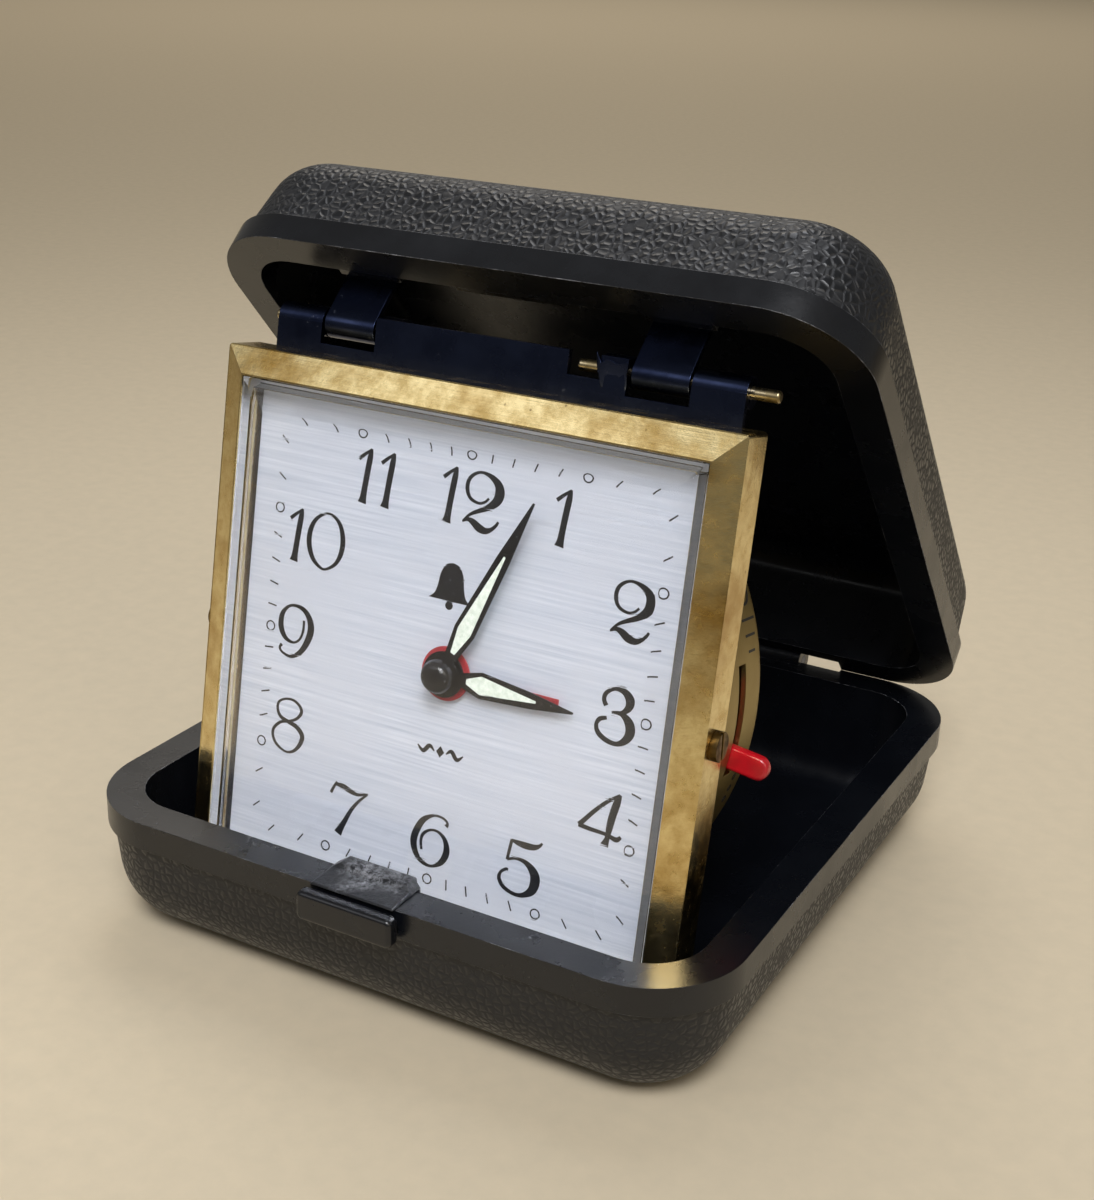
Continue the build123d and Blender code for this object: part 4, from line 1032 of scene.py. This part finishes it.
class TRAVELALARM_OT_movement(bpy.types.Operator):
    """Finish the wheels, plates and springs inside"""

    bl_idname = "travel_alarm.movement"
    bl_label = "Movement"

    def execute(self, context):
        steel = [
            "plate_pillars", "movement_posts", "time_mainspring", "alarm_mainspring", "time_click",
            "alarm_click", "hairspring", "time_winding_arbor", "alarm_winding_arbor",
            "alarm_set_arbor", "pallet_lever", "alarm_hammer", "pillar_nuts",
        ]
        brass = [
            "front_plate", "back_plate", "cannon_pinion", "hour_wheel", "minute_wheel",
            "alarm_wheel", "time_great_wheel", "centre_wheel", "third_wheel", "fourth_wheel",
            "escape_wheel", "balance_wheel", "alarm_great_wheel", "alarm_star_wheel",
        ]
        carried(steel, drawn_steel)
        carried(brass, clock_brass)
        return {"FINISHED"}


class TRAVELALARM_OT_stage(bpy.types.Operator):
    """Set up the floor, the soft lights and the camera"""

    bl_idname = "travel_alarm.stage"
    bl_label = "Stage"

    def execute(self, context):
        scene = context.scene
        reach = 6.0
        below = -0.0001
        mesh = bpy.data.meshes.new("paper_floor")
        corners = ((-reach, -reach), (reach, -reach), (reach, reach), (-reach, reach))
        mesh.from_pydata([(across, back, below) for across, back in corners], [], [(0, 1, 2, 3)])
        mesh.materials.append(finish(studio_paper))
        floor = bpy.data.objects.new("paper_floor", mesh)
        scene.collection.objects.link(floor)

        world = bpy.data.worlds.new("soft_room")
        world.use_nodes = True
        world.node_tree.nodes["Background"].inputs["Color"].default_value = linear("#E6E2D8")
        world.node_tree.nodes["Background"].inputs["Strength"].default_value = 0.24
        scene.world = world
        scene.view_settings.view_transform = "Standard"
        # Where each stands, what it is aimed at, its side, watts, spread in degrees and colour.
        softboxes = {
            "key_softbox": ((0.3, -0.6, 0.85), (0.0, 0.0, 0.04), 0.4, 1.12, 60, "#FAFBFF"),
            "front_softbox": ((-0.4, -0.59, 0.58), (0.0, 0.0, 0.04), 0.4, 0.075, 60, "#FBFBFF"),
            "top_softbox": ((-0.1, 0.3, 0.75), (0.0, 0.0, 0.04), 0.35, 0.15, 60, "#F2F6FF"),
            "side_softbox": ((0.7, -0.35, 0.5), (0.0, 0.0, 0.04), 0.4, 0.14, 60, "#FFF1DC"),
            "floor_softbox": ((-0.9, 1.5, 1.5), (-0.6, 1.3, 0.0), 1.2, 9.0, 150, "#FFF6EA"),
        }
        for name, (spot, aim, size, power, spread, colour) in softboxes.items():
            lamp = bpy.data.lights.new(name, "AREA")
            lamp.shape = "SQUARE"
            lamp.size = size
            lamp.energy = power
            lamp.spread = math.radians(spread)
            lamp.color = linear(colour)[:3]
            box = bpy.data.objects.new(name, lamp)
            box.location = spot
            way = Vector(aim) - Vector(spot)
            box.rotation_euler = way.to_track_quat("-Z", "Y").to_euler()
            scene.collection.objects.link(box)

        sizes = scene.travel_alarm_sizes
        around = sizes.camera_around
        above = sizes.camera_up
        back = Vector((
            math.sin(around) * math.cos(above), -math.cos(around) * math.cos(above),
            math.sin(above),
        ))
        level = Vector((0.0, 0.0, 1.0)).cross(back).normalized()
        roll = Matrix.Rotation(math.radians(CAMERA_ROLL), 3, back)
        right = roll @ level
        turn = Matrix((right, back.cross(right), back)).transposed().to_4x4()
        lens = bpy.data.cameras.new("camera")
        lens.sensor_fit = "AUTO"
        lens.sensor_width = 36.0
        lens.lens = LENS
        lens.clip_start = 0.01
        camera = bpy.data.objects.new("camera", lens)
        target = Vector(CAMERA_TARGET)
        camera.matrix_world = Matrix.Translation(target + back * sizes.camera_distance) @ turn
        scene.collection.objects.link(camera)
        scene.camera = camera
        return {"FINISHED"}


OPERATORS = (
    TRAVELALARM_OT_stage,
    TRAVELALARM_OT_case,
    TRAVELALARM_OT_clock_hinge,
    TRAVELALARM_OT_bezel,
    TRAVELALARM_OT_dial,
    TRAVELALARM_OT_hands,
    TRAVELALARM_OT_back,
    TRAVELALARM_OT_movement,
)


class TRAVELALARM_PT_panel(bpy.types.Panel):
    """Everything that the clock is made with"""

    bl_idname = "TRAVELALARM_PT_panel"
    bl_label = "Travel alarm"
    bl_space_type = "VIEW_3D"
    bl_region_type = "UI"
    bl_category = "Travel Alarm"

    def draw(self, context):
        for group in (context.scene.travel_alarm_sizes, context.scene.travel_alarm_colours):
            for name in group.__annotations__:
                self.layout.prop(group, name)
        for operator in OPERATORS:
            self.layout.operator(operator.bl_idname)


CLASSES = (TravelAlarmSizes, TravelAlarmColours, *OPERATORS, TRAVELALARM_PT_panel)


def register():
    for each in CLASSES:
        bpy.utils.register_class(each)
    bpy.types.Scene.travel_alarm_sizes = PointerProperty(type=TravelAlarmSizes)
    bpy.types.Scene.travel_alarm_colours = PointerProperty(type=TravelAlarmColours)


def unregister():
    del bpy.types.Scene.travel_alarm_sizes
    del bpy.types.Scene.travel_alarm_colours
    for each in reversed(CLASSES):
        bpy.utils.unregister_class(each)


def main():
    """Makes the clock."""
    register()
    for operator in OPERATORS:
        group, name = operator.bl_idname.split(".")
        getattr(getattr(bpy.ops, group), name)()


if __name__ == "__main__":
    main()
